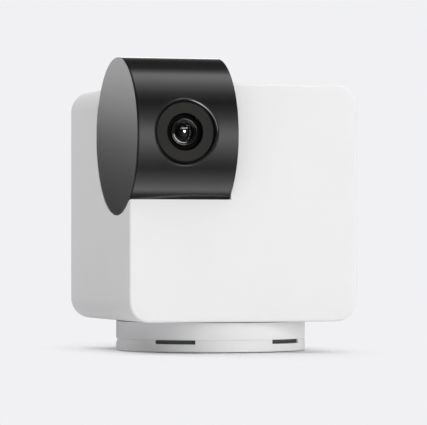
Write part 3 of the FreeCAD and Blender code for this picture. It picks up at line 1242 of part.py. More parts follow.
def reset_switch():
    """Side-facing push switch at the board's back edge."""
    body = block((BOARD_FACE - SWITCH_HEIGHT, BOARD_FACE), (BOARD_BACK - SWITCH_DEPTH, BOARD_BACK),
                 (BUTTON_Z - SWITCH_WIDTH / 2, BUTTON_Z + SWITCH_WIDTH / 2))
    plunger = rod(PLUNGER_RADIUS, Vector(BUTTON_X, BOARD_BACK, BUTTON_Z), PLUNGER_LENGTH, Y_AXIS)
    return fused([body, plunger])


def reset_button():
    """Round button flush with the rear cover; its stem reaches the switch."""
    collar_back = COVER_FRONT - FIT_GAP
    collar_front = collar_back - BUTTON_COLLAR_THICKNESS
    stem_end = BOARD_BACK + PLUNGER_LENGTH + BUTTON_TRAVEL + BUTTON_SWITCH_GAP
    face = COVER_REAR - BUTTON_SINK
    collar = BUTTON_RADIUS + BUTTON_COLLAR
    outline = [(0, stem_end), (BUTTON_STEM_RADIUS, stem_end), (BUTTON_STEM_RADIUS, collar_front),
               (collar, collar_front), (collar, collar_back), (BUTTON_RADIUS, collar_back),
               (BUTTON_RADIUS, face), (0, face)]
    return turned(outline, Vector(BUTTON_X, 0, BUTTON_Z), Y_AXIS, X_AXIS)


def about_speaker(outline):
    """A piece turned about the speaker's axis, from (radius, depth in from the rear cover) points."""
    return turned(outline, Vector(0, COVER_FRONT, SPEAKER_Z), -Y_AXIS, X_AXIS)


def speaker_gasket():
    inner = SPEAKER_RADIUS - GASKET_WIDTH
    return about_speaker([(inner, 0), (SPEAKER_RADIUS, 0), (SPEAKER_RADIUS, GASKET_THICKNESS),
                          (inner, GASKET_THICKNESS)])


def speaker_frame():
    """Steel basket with its rim on the gasket and the magnet on its back."""
    rim = GASKET_THICKNESS
    flange = rim + SPEAKER_FLANGE
    back = rim + SPEAKER_DEPTH
    floor = back - SPEAKER_MAGNET_HEIGHT
    lip = SPEAKER_RADIUS - SPEAKER_LIP
    return about_speaker([(lip, rim), (SPEAKER_RADIUS, rim), (SPEAKER_RADIUS, flange),
                          (SPEAKER_MAGNET_RADIUS, floor + SPEAKER_BASKET_STEP), (SPEAKER_MAGNET_RADIUS, back),
                          (0, back), (0, floor), (SPEAKER_MAGNET_RADIUS - SPEAKER_BASKET_STEP, floor),
                          (lip, flange)])


def speaker_cone():
    rim = GASKET_THICKNESS + CONE_LIFT
    edge = SPEAKER_RADIUS - SPEAKER_LIP - CONE_GAP
    root, top = rim + CONE_DEPTH, rim + CONE_DEPTH - CONE_DOME_RISE
    return about_speaker([(0, top), (CONE_DOME_RADIUS, root), (edge, rim), (edge, rim + CONE_THICKNESS),
                          (CONE_DOME_RADIUS, root + CONE_THICKNESS), (0, top + CONE_THICKNESS)])


def microphone():
    """Small can against the rear cover, over its sound hole."""
    start = Vector(0, COVER_FRONT - MIC_HEIGHT, BODY_TOP - MIC_BELOW_TOP)
    return ring(MIC_RADIUS, MIC_HOLE_RADIUS, start, MIC_HEIGHT, Y_AXIS)


def wifi_antenna():
    """Aerial strip on the inside of the left wall."""
    wall = LEFT + BODY_WALL
    back = BACK - AERIAL_BACK_GAP
    foot = FLOOR_TOP + AERIAL_FLOOR_GAP
    return block((wall, wall + AERIAL_THICKNESS), (back - AERIAL_LENGTH, back), (foot, foot + AERIAL_HEIGHT))


DRUM_PIECES = {
    "drum_shell": drum_shell,
    "drum_cap": drum_cap,
    "lens_hood": lens_hood,
    "ir_window": ir_window,
    "lens_barrel": lens_barrel,
    "front_glass": front_glass,
    "lens_iris": lens_iris,
    "rear_glass": rear_glass,
    "lens_holder": lens_holder,
    "image_sensor": image_sensor,
    "filter_glass": filter_glass,
    "sensor_board": sensor_board,
    "lamp_board": lamp_board,
    "infrared_lamps": infrared_lamps,
    "camera_carrier": camera_carrier,
    "carrier_screws": carrier_screws,
}
OTHER_PIECES = {
    "housing_shell": housing_shell,
    "rear_cover": rear_cover,
    "cover_screws": cover_screws,
    "base_tray": base_tray,
    "base_cover": base_cover,
    "foot_pad": foot_pad,
    "vent_mesh": vent_mesh,
    "thread_insert": thread_insert,
    "ballast_plate": ballast_plate,
    "base_screws": base_screws,
    "port_bezel": port_bezel,
    "usb_inlet": usb_inlet,
    "usb_tongue": usb_tongue,
    "power_board": power_board,
    "power_parts": power_parts,
    "thrust_washer": thrust_washer,
    "pan_bush": pan_bush,
    "pan_gear": pan_gear,
    "retaining_clip": retaining_clip,
    "pan_pinion": pan_pinion,
    "pan_motor": pan_motor,
    "pan_shaft": pan_shaft,
    "tilt_bush": tilt_bush,
    "tilt_gear": tilt_gear,
    "tilt_gear_screws": tilt_gear_screws,
    "tilt_pinion": tilt_pinion,
    "tilt_motor": tilt_motor,
    "tilt_shaft": tilt_shaft,
    "motor_screws": motor_screws,
    "main_board": main_board,
    "board_screws": board_screws,
    "board_sockets": board_sockets,
    "processor_can": processor_can,
    "heat_sink": heat_sink,
    "reset_switch": reset_switch,
    "reset_button": reset_button,
    "speaker_gasket": speaker_gasket,
    "speaker_frame": speaker_frame,
    "speaker_cone": speaker_cone,
    "microphone": microphone,
    "wifi_antenna": wifi_antenna,
}


def export(name, made):
    """Writes one node: a solid, or a group of separate solids."""
    solids = made if isinstance(made, list) else [made]
    shape = Part.makeCompound([s for item in solids for s in item.Solids])
    if not shape.isValid():
        raise ValueError(name + " is not a valid solid")
    shape.exportStep("parts/" + name + ".step")
    print("%-18s %3d solids %10.1f mm3" % (name, len(shape.Solids), shape.Volume))


def main():
    os.makedirs("parts", exist_ok=True)
    for name, make in OTHER_PIECES.items():
        export(name, make())
    for name, make in DRUM_PIECES.items():
        made = make()
        solids = made if isinstance(made, list) else [made]
        for solid in solids:
            solid.rotate(Vector(0, DRUM_Y, DRUM_Z), -X_AXIS, REST_TILT)
        export(name, solids)


if __name__ == "__main__":
    main()
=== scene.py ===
import json
import math

import bmesh
import bpy
from mathutils import Matrix, Vector


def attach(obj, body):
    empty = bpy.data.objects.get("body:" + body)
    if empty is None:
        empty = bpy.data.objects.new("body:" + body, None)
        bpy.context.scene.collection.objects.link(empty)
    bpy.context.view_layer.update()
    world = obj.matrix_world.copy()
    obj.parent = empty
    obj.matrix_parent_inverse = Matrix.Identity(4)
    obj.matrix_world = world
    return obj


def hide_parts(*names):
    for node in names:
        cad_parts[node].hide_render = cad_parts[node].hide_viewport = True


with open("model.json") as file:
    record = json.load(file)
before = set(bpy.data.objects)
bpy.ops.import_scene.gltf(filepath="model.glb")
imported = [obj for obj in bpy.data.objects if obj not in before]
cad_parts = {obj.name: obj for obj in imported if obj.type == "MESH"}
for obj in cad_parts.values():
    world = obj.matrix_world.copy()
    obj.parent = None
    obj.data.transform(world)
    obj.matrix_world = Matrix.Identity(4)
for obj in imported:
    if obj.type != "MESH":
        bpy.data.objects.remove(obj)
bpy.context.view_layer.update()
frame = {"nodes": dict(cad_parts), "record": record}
scene = bpy.context.scene

# Metres in a millimetre
MM = 0.001
BODY_OF = {node: body for body, nodes in frame["record"]["behaviour"]["bodies"].items() for node in nodes}
SLOT_OF = {part["node"]: part["material_slot"] for part in frame["record"]["subparts"]}

# Places on the camera, in millimetres, as its drawing gives them
LENS_X, DRUM_Y, DRUM_Z, DRUM_RADIUS = -23.1, -23.3, 73.2, 26.4
REST_TILT = math.radians(1.6)
# The lens's own frame: Z runs out of the lens along its axis, from the drum's surface
LENS = (Matrix.Translation((LENS_X, DRUM_Y, DRUM_Z)) @ Matrix.Rotation(math.pi / 2 - REST_TILT, 4, "X")
        @ Matrix.Translation((0.0, 0.0, DRUM_RADIUS)))
# The speaker's: Z runs out of its mouth, towards the rear cover
SPEAKER_Z = 57.6
CONE_RIM_Y = 35.8
SPEAKER = Matrix.Translation((0.0, CONE_RIM_Y, SPEAKER_Z)) @ Matrix.Rotation(-math.pi / 2, 4, "X")


# ---- finishes

# Nearly all of a noise's values lie between these
NOISE_LOW, NOISE_HIGH = 0.25, 0.75
# A Mix node's factor and colours, by the places of their sockets
FACTOR, FIRST, SECOND, MIXED = 0, 6, 7, 2


def linear(colour):
    """An sRGB hex colour as the linear one, with alpha."""
    parts = [int(colour[i : i + 2], 16) / 255 for i in (1, 3, 5)]
    return [p / 12.92 if p <= 0.04045 else ((p + 0.055) / 1.055) ** 2.4 for p in parts] + [1.0]


def add(tree, kind, values=None, **settings):
    """Adds a node. Each value is what a socket holds, an sRGB hex colour, or the output that feeds it, or a
    node, of which the first output does."""
    node = tree.nodes.new("ShaderNode" + kind)
    for name, setting in settings.items():
        setattr(node, name, setting)
    for name, value in (values or {}).items():
        if isinstance(value, bpy.types.Node):
            value = value.outputs[0]
        if isinstance(value, bpy.types.NodeSocket):
            tree.links.new(value, node.inputs[name])
        else:
            node.inputs[name].default_value = linear(value) if isinstance(value, str) else value
    return node


def blank(name):
    """A material without nodes yet, and the place on the piece that its patterns are read from."""
    made = bpy.data.materials.new(name)
    made.use_nodes = True
    made.node_tree.nodes.clear()
    return made, made.node_tree, add(made.node_tree, "TexCoord").outputs["Object"]


def finish_with(tree, tint, roughness, values):
    """Ends a material in one Principled shader, with its colour from a Mix node."""
    shader = add(tree, "BsdfPrincipled", {"Base Color": tint.outputs[MIXED], "Roughness": roughness, **values})
    add(tree, "OutputMaterial", {"Surface": shader})


def surface(name, colours, roughness, grain, depth, spread=0.05, flow=14.0, stretch=(1.0, 1.0, 1.0), **sockets):
    """A skin with a fine relief. The colour drifts between two over flow mm, and the relief is grain mm wide
    and depth mm high, stretched along an axis where a tool has left lines. The sheen varies with it."""
    made, tree, place = blank(name)
    drift = add(tree, "TexNoise", {"Vector": place, "Scale": 1 / (flow * MM), "Detail": 3.0})
    tint = add(tree, "Mix", {FACTOR: drift, FIRST: colours[0], SECOND: colours[1]}, data_type="RGBA")
    along = add(tree, "Mapping", {"Vector": place, "Scale": stretch})
    relief = add(tree, "TexNoise", {"Vector": along, "Scale": 1 / (grain * MM), "Detail": 2.0, "Roughness": 0.6})
    sheen = add(tree, "MapRange", {"Value": relief, "From Min": NOISE_LOW, "From Max": NOISE_HIGH,
                                   "To Min": roughness - spread, "To Max": roughness + spread})
    bump = add(tree, "Bump", {"Height": relief, "Distance": depth * MM})
    finish_with(tree, tint, sheen, {"Normal": bump, **{key.replace("_", " "): value
                                                       for key, value in sockets.items()}})
    return made


# Moulded ABS, satin from a spark-eroded tool: an even, soft white without glints
white_abs = surface("white_moulded_abs", ("#ECECEB", "#E9E9E9"), roughness=0.46, grain=0.5, depth=0.004,
                    IOR=1.52, Specular_IOR_Level=0.3)
# The same plastic tinted for the button, a shade greyer than the cover round it
grey_abs = surface("grey_moulded_abs", ("#B9BABD", "#B3B4B7"), roughness=0.44, grain=0.4, depth=0.004,
                   flow=3.0, IOR=1.52)
# Polished black polycarbonate tube: deep black that takes clear, soft-edged bands of light
polished_black = surface("polished_black_polycarbonate", ("#141415", "#161616"), roughness=0.13, grain=1.6,
                         depth=0.0006, spread=0.015, IOR=1.585, Coat_Weight=1.0, Coat_Roughness=0.08,
                         Coat_IOR=1.5)
# Satin black ABS cap: a fine tool texture spreads the light into one broad gradient
satin_black = surface("satin_black_abs", ("#181819", "#1B1B1B"), roughness=0.3, grain=0.4, depth=0.002, IOR=1.52)
# Smoked acrylic that infrared passes: a flat, slightly warm black
smoked_acrylic = surface("smoked_infrared_acrylic", ("#21201E", "#242320"), roughness=0.5, grain=0.3, depth=0.002,
                         IOR=1.49)
# Matt black ABS of the lens surround: its black is taken darker than the plastic's own, as painted shade,
# so that the gap round the window reads as a line
matt_black = surface("matt_black_abs", ("#040404", "#060606"), roughness=0.62, grain=0.3, depth=0.004, flow=3.0,
                     IOR=1.4)
# Black anodised aluminium barrel: near black, with a soft bright edge where the light grazes it
black_anodised = surface("black_anodised_aluminium", ("#050505", "#080808"), roughness=0.16, grain=0.12,
                         depth=0.0005, flow=2.0, IOR=1.45)
# The same finish bead-blasted, on the faces that must not throw light into the lens
matt_anodised = surface("blasted_black_aluminium", ("#050505", "#070707"), roughness=0.6, grain=0.15, depth=0.004,
                        flow=2.0, Specular_IOR_Level=0.15)
# Glass-filled black nylon: matt, faintly speckled with fibre
black_nylon = surface("black_glass_filled_nylon", ("#0B0B0B", "#131313"), roughness=0.55, grain=0.25, depth=0.004,
                      flow=0.6, IOR=1.53)
# Unfilled nylon of the lead sockets: warm ivory and slightly waxy
ivory_nylon = surface("ivory_moulded_nylon", ("#E3DBC0", "#DCD3B6"), roughness=0.42, grain=0.3, depth=0.003,
                      flow=3.0, IOR=1.53, Subsurface_Weight=0.15, Subsurface_Scale=0.6 * MM,
                      Subsurface_Radius=(1.0, 0.8, 0.5))
# Natural acetal gears and bushes: milky white and slippery, with a soft sheen
acetal = surface("natural_acetal", ("#E9E6DC", "#E3E0D6"), roughness=0.32, grain=0.6, depth=0.002, flow=6.0,
                 IOR=1.48, Subsurface_Weight=0.2, Subsurface_Scale=0.8 * MM,
                 Subsurface_Radius=(1.0, 0.95, 0.85))
# Compression-moulded rubber foot: dull black with a grey bloom of dust in its grain
foot_rubber = surface("moulded_black_rubber", ("#161616", "#262626"), roughness=0.78, grain=0.35, depth=0.012,
                      flow=4.0, IOR=1.52)
# Zinc-plated pressed steel: blue-grey and cloudy
zinc_steel = surface("zinc_plated_pressed_steel", ("#A9AEB4", "#BEC2C7"), roughness=0.38, grain=1.2, depth=0.002,
                     flow=5.0, Metallic=1.0)
# Plated carbon steel of the screws: darker, with fine tool lines
screw_steel = surface("nickel_plated_screw_steel", ("#9C9DA0", "#B4B5B8"), roughness=0.3, grain=0.2, depth=0.002,
                      flow=1.0, stretch=(1.0, 1.0, 0.2), Metallic=1.0)
# Stamped stainless of the inlet, cans and clip: bright, with lines along the rolled sheet
rolled_steel = surface("rolled_stainless_steel", ("#B9BABB", "#C8C9CA"), roughness=0.26, grain=0.15, depth=0.0015,
                       flow=3.0, stretch=(0.08, 1.0, 1.0), Metallic=1.0)
# Extruded aluminium: pale grey, with the die's lines along the fins
extruded_aluminium = surface("extruded_aluminium", ("#C9CBCE", "#D6D8DA"), roughness=0.36, grain=0.25, depth=0.003,
                             flow=4.0, stretch=(1.0, 1.0, 0.05), Metallic=1.0)
# Tinned and gold-flashed contacts: warm, bright and smooth
gold_flash = surface("gold_flashed_contacts", ("#D9B36A", "#E2BF78"), roughness=0.22, grain=0.1, depth=0.0005,
                     flow=0.6, Metallic=1.0)
# Moulded epoxy of the chips: charcoal with a fine sandblasted top
chip_epoxy = surface("moulded_chip_epoxy", ("#1B1C1E", "#222326"), roughness=0.6, grain=0.08, depth=0.002,
                     flow=1.0, IOR=1.55)
# Sintered ferrite and ceramic parts: mid grey-brown, dull
ferrite = surface("sintered_ferrite", ("#4A4643", "#5A544F"), roughness=0.66, grain=0.12, depth=0.004, flow=0.8,
                  IOR=1.9)
# Clear epoxy of the infrared lamps, over the pale cup inside: a bright dome with a milky middle
lamp_epoxy = surface("clear_lamp_epoxy", ("#B9B6AE", "#CFCCC4"), roughness=0.12, grain=0.5, depth=0.0005, flow=0.7,
                     IOR=1.54, Subsurface_Weight=0.4, Subsurface_Scale=0.4 * MM, Coat_Weight=0.6,
                     Coat_Roughness=0.05)
# Drawn aluminium capacitor cans: pale, with fine lines along the draw
drawn_aluminium = surface("drawn_aluminium_can", ("#BFC3C8", "#CED2D6"), roughness=0.3, grain=0.12, depth=0.001,
                          flow=1.0, stretch=(1.0, 1.0, 0.1), Metallic=1.0)


def turned_brass():
    """Brass from an automatic lathe: yellow, with fine rings round its axis, here the camera's own axis."""
    ring_width, ring_depth, stain_width = 0.12, 0.004, 2.0
    made, tree, place = blank("turned_brass")
    towards = add(tree, "SeparateXYZ", {"Vector": place}).outputs
    flat = add(tree, "CombineXYZ", {"X": towards["X"], "Y": towards["Y"]})
    radius = add(tree, "VectorMath", {0: flat}, operation="LENGTH").outputs["Value"]
    rings = add(tree, "CombineXYZ", {"X": radius, "Y": towards["Z"]})
    feed = add(tree, "TexNoise", {"Vector": rings, "Scale": 1 / (ring_width * MM), "Detail": 1.0})
    stain = add(tree, "TexNoise", {"Vector": place, "Scale": 1 / (stain_width * MM), "Detail": 3.0})
    tint = add(tree, "Mix", {FACTOR: stain, FIRST: "#C9A458", SECOND: "#B48A42"}, data_type="RGBA")
    sheen = add(tree, "MapRange", {"Value": feed, "To Min": 0.2, "To Max": 0.42})
    bump = add(tree, "Bump", {"Height": feed, "Distance": ring_depth * MM})
    finish_with(tree, tint, sheen, {"Metallic": 1.0, "Normal": bump})
    return made


def solder_mask(name, lacquer, covered, tracked):
    """Printed board: lacquer over copper tracks, which show through paler, with a tinned dot at each via."""
    cell, via_spacing, raised_by = 4.0, 2.6, 0.03
    block_length, row_height, track_width = 6.8, 0.88, 0.24
    via_radius = 0.13  # as a share of the spacing
    made, tree, place = blank(name)
    askew = add(tree, "Mapping", {"Vector": place, "Rotation": (0.3, 0.2, 0.0)})
    tracks = add(tree, "TexBrick", {"Vector": askew, "Scale": 1 / (cell * MM),
                                    "Mortar Size": track_width / cell, "Color1": lacquer, "Color2": covered,
                                    "Mortar": tracked, "Brick Width": block_length / cell,
                                    "Row Height": row_height / cell})
    vias = add(tree, "TexVoronoi", {"Vector": place, "Scale": 1 / (via_spacing * MM), "Randomness": 0.8})
    ring = add(tree, "Math", {0: vias, 1: via_radius}, operation="LESS_THAN")
    tint = add(tree, "Mix", {FACTOR: ring, FIRST: tracks, SECOND: "#B9BBBD"}, data_type="RGBA")
    raised = add(tree, "Math", {0: tracks.outputs["Fac"], 1: ring}, operation="MAXIMUM")
    bump = add(tree, "Bump", {"Height": raised, "Distance": raised_by * MM})
    sheen = add(tree, "MapRange", {"Value": tracks.outputs["Fac"], "To Min": 0.38, "To Max": 0.3})
    finish_with(tree, tint, sheen, {"Metallic": ring, "IOR": 1.55, "Normal": bump, "Coat Weight": 0.4,
                                    "Coat Roughness": 0.2})
    return made


def woven_mesh():
    """Black woven dust mesh in the base's slots, its threads round the base's axis and upright. The real pitch
    is nearer 0.2 mm, and is drawn coarser here so that it shows. The thread crests are painted paler and the gaps
    between them darker: a painted highlight and painted shade."""
    pitch, thread_depth, strip_radius = 0.35, 0.08, 30
    made, tree, place = blank("black_woven_polyester_mesh")
    towards = add(tree, "SeparateXYZ", {"Vector": place}).outputs
    round_axis = add(tree, "Math", {0: towards["Y"], 1: towards["X"]}, operation="ARCTAN2")
    along = add(tree, "Math", {0: round_axis, 1: strip_radius * math.tau / pitch}, operation="MULTIPLY")
    rise = add(tree, "Math", {0: towards["Z"], 1: math.tau / (pitch * MM)}, operation="MULTIPLY")
    upright, level = (add(tree, "Math", {0: turn}, operation="SINE") for turn in (along, rise))
    threads = add(tree, "Math", {0: upright, 1: level}, operation="MAXIMUM")
    # the gaps between threads painted darker, as painted shade, and the crests paler, as a painted highlight
    tint = add(tree, "Mix", {FACTOR: threads, FIRST: "#2C2C2D", SECOND: "#606062"}, data_type="RGBA")
    bump = add(tree, "Bump", {"Height": threads, "Distance": thread_depth * MM})
    finish_with(tree, tint, 0.7, {"Normal": bump})
    return made


def cell_foam():
    """Open-cell foam gasket: charcoal and dull, its pores painted darker than its cell walls as painted shade."""
    pore_width, pore_depth = 0.35, 0.15
    made, tree, place = blank("charcoal_open_cell_foam")
    pores_and_shade = add(tree, "TexVoronoi", {"Vector": place, "Scale": 1 / (pore_width * MM)})
    # the pores' middles painted darker: painted shade in the pores
    tint = add(tree, "Mix", {FACTOR: pores_and_shade, FIRST: "#131314", SECOND: "#3A3A3C"}, data_type="RGBA")
    bump = add(tree, "Bump", {"Height": pores_and_shade, "Distance": pore_depth * MM})
    finish_with(tree, tint, 0.95, {"Normal": bump})
    return made


def pressed_paper():
    """Black pressed paper cone: matt, with pale fibres lying every way."""
    fibre_spacing, fibre_depth = 0.5, 0.04
    made, tree, place = blank("black_pressed_paper")
    fibres = add(tree, "TexNoise", {"Vector": place, "Scale": 1 / (fibre_spacing * MM), "Detail": 6.0,
                                    "Distortion": 2.5})
    sparse = add(tree, "MapRange", {"Value": fibres, "From Min": 0.45, "From Max": NOISE_HIGH})
    tint = add(tree, "Mix", {FACTOR: sparse, FIRST: "#161617", SECOND: "#4A4A4B"}, data_type="RGBA")
    bump = add(tree, "Bump", {"Height": fibres, "Distance": fibre_depth * MM})
    finish_with(tree, tint, 0.85, {"Sheen Weight": 0.2, "Normal": bump})
    return made


def coated_glass(name, tints):
    """Ground and polished glass with an anti-glare coating. Its faint coloured reflection at the edge is painted
    into the glass's own colour, by how squarely the glass faces the eye. The coating is why the indices are so
    low: it throws back a hundredth or two, and bare glass a twentieth. The tint is darker than clear glass:
    painted shade, for the light that the black barrel swallows behind it."""
    polish_width, rim_share, most_haze = 1.5, 0.35, 0.04
    made, tree, place = blank(name)
    # the tint turns with how squarely the glass faces the eye: the coating's coloured reflection, painted into the
    # colour
    painted_edge_glare = add(tree, "LayerWeight", {"Blend": rim_share})
    tint = add(tree, "Mix", {FACTOR: painted_edge_glare.outputs["Facing"], FIRST: tints[0], SECOND: tints[1]},
               data_type="RGBA")
    polish = add(tree, "TexNoise", {"Vector": place, "Scale": 1 / (polish_width * MM), "Detail": 2.0})
    sheen = add(tree, "MapRange", {"Value": polish, "To Min": 0.0, "To Max": most_haze})
    finish_with(tree, tint, sheen, {"IOR": 1.07, "Transmission Weight": 1.0, "Coat Weight": 1.0,
                                    "Coat Roughness": 0.02, "Coat IOR": 1.3})
    return made


def image_chip():
    """Image sensor: a dark, faintly green pixel field under glass, inside a gold-wired frame."""
    half_field, cloud_width = 2.6, 2.0
    made, tree, place = blank("image_sensor_silicon")
    centred = add(tree, "Mapping", {"Vector": place, "Location": (-LENS_X * MM, 0.0, -DRUM_Z * MM)})
    towards = add(tree, "SeparateXYZ", {"Vector": centred}).outputs
    across, up = (add(tree, "Math", {0: towards[axis]}, operation="ABSOLUTE") for axis in "XZ")
    reach = add(tree, "Math", {0: across, 1: up}, operation="MAXIMUM")
    outside = add(tree, "Math", {0: reach, 1: half_field * MM}, operation="GREATER_THAN")
    clouds = add(tree, "TexNoise", {"Vector": place, "Scale": 1 / (cloud_width * MM)})
    field = add(tree, "Mix", {FACTOR: clouds, FIRST: "#1B2A2A", SECOND: "#2A2233"}, data_type="RGBA")
    tint = add(tree, "Mix", {FACTOR: outside, FIRST: field.outputs[MIXED], SECOND: "#8C7A4A"}, data_type="RGBA")
    finish_with(tree, tint, 0.35, {"IOR": 1.3})
    return made


brass = turned_brass()
green_board = solder_mask("green_solder_mask_board", "#0E4429", "#0C3D25", "#1D6A41")
# Black lacquer in the drum, where a green board would throw stray light at the lens
black_board = solder_mask("black_solder_mask_board", "#0A0A0A", "#070707", "#1A1A19")
mesh_cloth = woven_mesh()
foam = cell_foam()
paper = pressed_paper()
# grey glass darkened as painted shade for the barrel behind it, purple at the edge as a painted coating reflection
lens_glass = coated_glass("coated_lens_glass", ("#8E8E94", "#6C667C"))
# The cut filter: pale cyan seen square on, and pink at a slant, where its coating's reflection is painted into its
# colour
infrared_glass = coated_glass("infrared_cut_filter_glass", ("#BFE9F2", "#E7A9C9"))
silicon = image_chip()

FINISH_OF = {
    "white_plastic": white_abs, "gloss_black": polished_black, "satin_black": satin_black,
    "window_black": smoked_acrylic, "black_plastic": black_nylon, "grey_plastic": grey_abs,
    "ivory_plastic": ivory_nylon, "acetal": acetal, "foot_rubber": foot_rubber, "foam": foam,
    "dark_mesh": mesh_cloth, "brass": brass, "steel": rolled_steel, "zinc_steel": zinc_steel,
    "steel_screws": screw_steel, "aluminium": extruded_aluminium, "circuit_board": green_board,
    "paper_cone": paper, "lens_glass": lens_glass, "sensor": silicon, "lamp_resin": lamp_epoxy,
}
OWN_FINISH = {"lens_hood": matt_black, "lens_iris": matt_anodised, "filter_glass": infrared_glass,
              "wifi_antenna": gold_flash, "lamp_board": black_board, "sensor_board": black_board}
for node, slot in SLOT_OF.items():
    for holder in frame["nodes"][node].material_slots:
        holder.material = OWN_FINISH.get(node, FINISH_OF[slot])


# ---- shaping, in millimetres

# Points nearer than this are one
MERGE = 0.0005
# Edges sharper than this, in degrees, show as edges
SHARP = 32
# Share of a thread's pitch that its ridge takes, and how far the ridge's root is sunk into its core
RIDGE, THREAD_SUNK = 0.8, 0.05
# Left between faces that would lie in one plane
HAIR = 0.02
# The rounding of small parts' edges
SMALL_EDGE = 0.08


def turned(outline, steps):
    """A shape turned about Z from (radius, height) points. An open outline has both ends on the axis."""
    bm = bmesh.new()
    points = [bm.verts.new((radius, 0.0, height)) for radius, height in outline]
    closed = outline[0][0] > 0
    for pair in zip(points, points[1:] + points[:1] if closed else points[1:]):
        bm.edges.new(pair)
    bmesh.ops.spin(bm, geom=bm.verts[:] + bm.edges[:], cent=(0, 0, 0), axis=(0, 0, 1), angle=math.tau,
                   steps=steps, use_merge=True)
    bmesh.ops.remove_doubles(bm, verts=bm.verts, dist=MERGE)
    bmesh.ops.recalc_face_normals(bm, faces=bm.faces)
    return bm


def arc(centre, radius, start, end, steps):
    """Points of an outline's arc, its ends in degrees from straight outwards, up positive."""
    turns = [math.radians(start + (end - start) * step / steps) for step in range(steps + 1)]
    return [(centre[0] + radius * math.cos(turn), centre[1] + radius * math.sin(turn)) for turn in turns]


def join(whole, part, place=Matrix()):
    """Adds a shape to another, at a place."""
    part.transform(place)
    mesh = bpy.data.meshes.new("part")
    part.to_mesh(mesh)
    part.free()
    whole.from_mesh(mesh)
    bpy.data.meshes.remove(mesh)


def block(low, high, edge=SMALL_EDGE):
    """A box between two corners with rounded edges."""
    low, high = Vector(low), Vector(high)
    bm = bmesh.new()
    bmesh.ops.create_cube(bm, size=1.0, matrix=Matrix.Translation((low + high) / 2)
                          @ Matrix.Diagonal((high - low).to_4d()))
    if edge:
        bmesh.ops.bevel(bm, geom=bm.edges[:], offset=edge, segments=2, profile=0.5, affect="EDGES", material=-1)
    return bm


def thread(radius, root, pitch, low, high, steps):
    """A helical ridge between two heights, its crest at one radius and its root sunk to another."""
    bm = bmesh.new()
    profile = ((root, 0.0), (radius, RIDGE / 2), (root, RIDGE))
    corners = [bm.verts.new((across, 0.0, low + rise * pitch)) for across, rise in profile]
    edges = [bm.edges.new(pair) for pair in zip(corners, corners[1:] + corners[:1])]
    count = round((high - low - RIDGE * pitch) / pitch * steps)
    swept = bmesh.ops.spin(bm, geom=corners + edges, cent=(0, 0, 0), axis=(0, 0, 1),
                           dvec=(0, 0, pitch / steps), angle=math.tau * count / steps, steps=count)
    bm.faces.new(corners)
    bm.faces.new([item for item in swept["geom_last"] if isinstance(item, bmesh.types.BMVert)])
    bmesh.ops.recalc_face_normals(bm, faces=bm.faces)
    return bm


def put_in_scene(name, bm):
    """Makes a shape an object, and puts it in the scene."""
    mesh = bpy.data.meshes.new(name)
    bm.to_mesh(mesh)
    bm.free()
    made = bpy.data.objects.new(name, mesh)
    scene.collection.objects.link(made)
    return made


def cut(bm, tool):
    """Takes one shape out of another."""
    blanks = [put_in_scene("blank", shape) for shape in (bm, tool)]
    change = blanks[0].modifiers.new("cut", "BOOLEAN")
    change.object = blanks[1]
    change.solver = "EXACT"
    made = bmesh.new()
    made.from_object(blanks[0], bpy.context.evaluated_depsgraph_get())
    for unused in blanks:
        bpy.data.meshes.remove(unused.data)
    return made


def solids(node):
    """The low and high corners and the points, in millimetres, of each separate solid of a node."""
    bm = bmesh.new()
    bm.from_mesh(frame["nodes"][node].data)
    bmesh.ops.remove_doubles(bm, verts=bm.verts, dist=2 * MERGE * MM)
    waiting, found = set(bm.verts), []
    while waiting:
        group, edge = [], [waiting.pop()]
        while edge:
            vert = edge.pop()
            group.append(vert.co / MM)
            near = {link.other_vert(vert) for link in vert.link_edges} & waiting
            waiting -= near
            edge += near
        low, high = (Vector([pick(point[axis] for point in group) for axis in range(3)]) for pick in (min, max))
        found.append((low, high, group))
    bm.free()
    return sorted(found, key=lambda solid: [round(place, 2) for place in solid[0]])


def piece(name, bm, like, place=Matrix(), finish=None, stands_for=True):
    """Puts a shape in its place, with the body, slot and finish of a node, which it stands for or joins."""
    bm.transform(Matrix.Scale(MM, 4) @ place)
    made = put_in_scene(name, bm)
    made.data.materials.append(finish or OWN_FINISH.get(like, FINISH_OF[SLOT_OF[like]]))
    made.data.shade_smooth()
    made.data.set_sharp_from_angle(angle=math.radians(SHARP))
    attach(made, BODY_OF[like])
    if stands_for:
        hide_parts(like)
    return made


# ---- lens

BARREL_FRONT, BARREL_BACK = -3.1, -11.6
NOSE_RADIUS, THREAD_RADIUS, BORE_RADIUS = 4.5, 6.0, 3.3
SOCKET_RADIUS = NOSE_RADIUS - 0.3
SHOULDER = BARREL_FRONT - 0.9
GLASS_RADIUS = 3.35
GLASS_OPENING = GLASS_RADIUS - 0.9
GLASS_MOUTH, GLASS_SEAT = BARREL_FRONT - 0.55, BARREL_FRONT - 2.15


def lens_barrel():
    """Turned barrel: a plain collar behind the shoulder, a fine 12 mm thread, and a hollow bore."""
    chamfer, collar_length, thread_depth, thread_pitch, ledge = 0.2, 1.4, 0.3, 0.5, 0.6
    collar = SHOULDER - collar_length
    core = THREAD_RADIUS - thread_depth
    seat = GLASS_SEAT - HAIR
    outline = [(SOCKET_RADIUS, seat), (SOCKET_RADIUS, SHOULDER), (THREAD_RADIUS - chamfer, SHOULDER),
               (THREAD_RADIUS, SHOULDER - chamfer), (THREAD_RADIUS, collar), (core, collar - chamfer),
               (core, BARREL_BACK + chamfer), (core - chamfer, BARREL_BACK), (BORE_RADIUS, BARREL_BACK),
               (BORE_RADIUS, seat - ledge), (GLASS_OPENING, seat - ledge), (GLASS_OPENING, seat)]
    bm = turned(outline, steps=96)
    join(bm, thread(THREAD_RADIUS, core - THREAD_SUNK, thread_pitch, BARREL_BACK + chamfer, collar - chamfer / 2,
                    steps=40))
    return bm


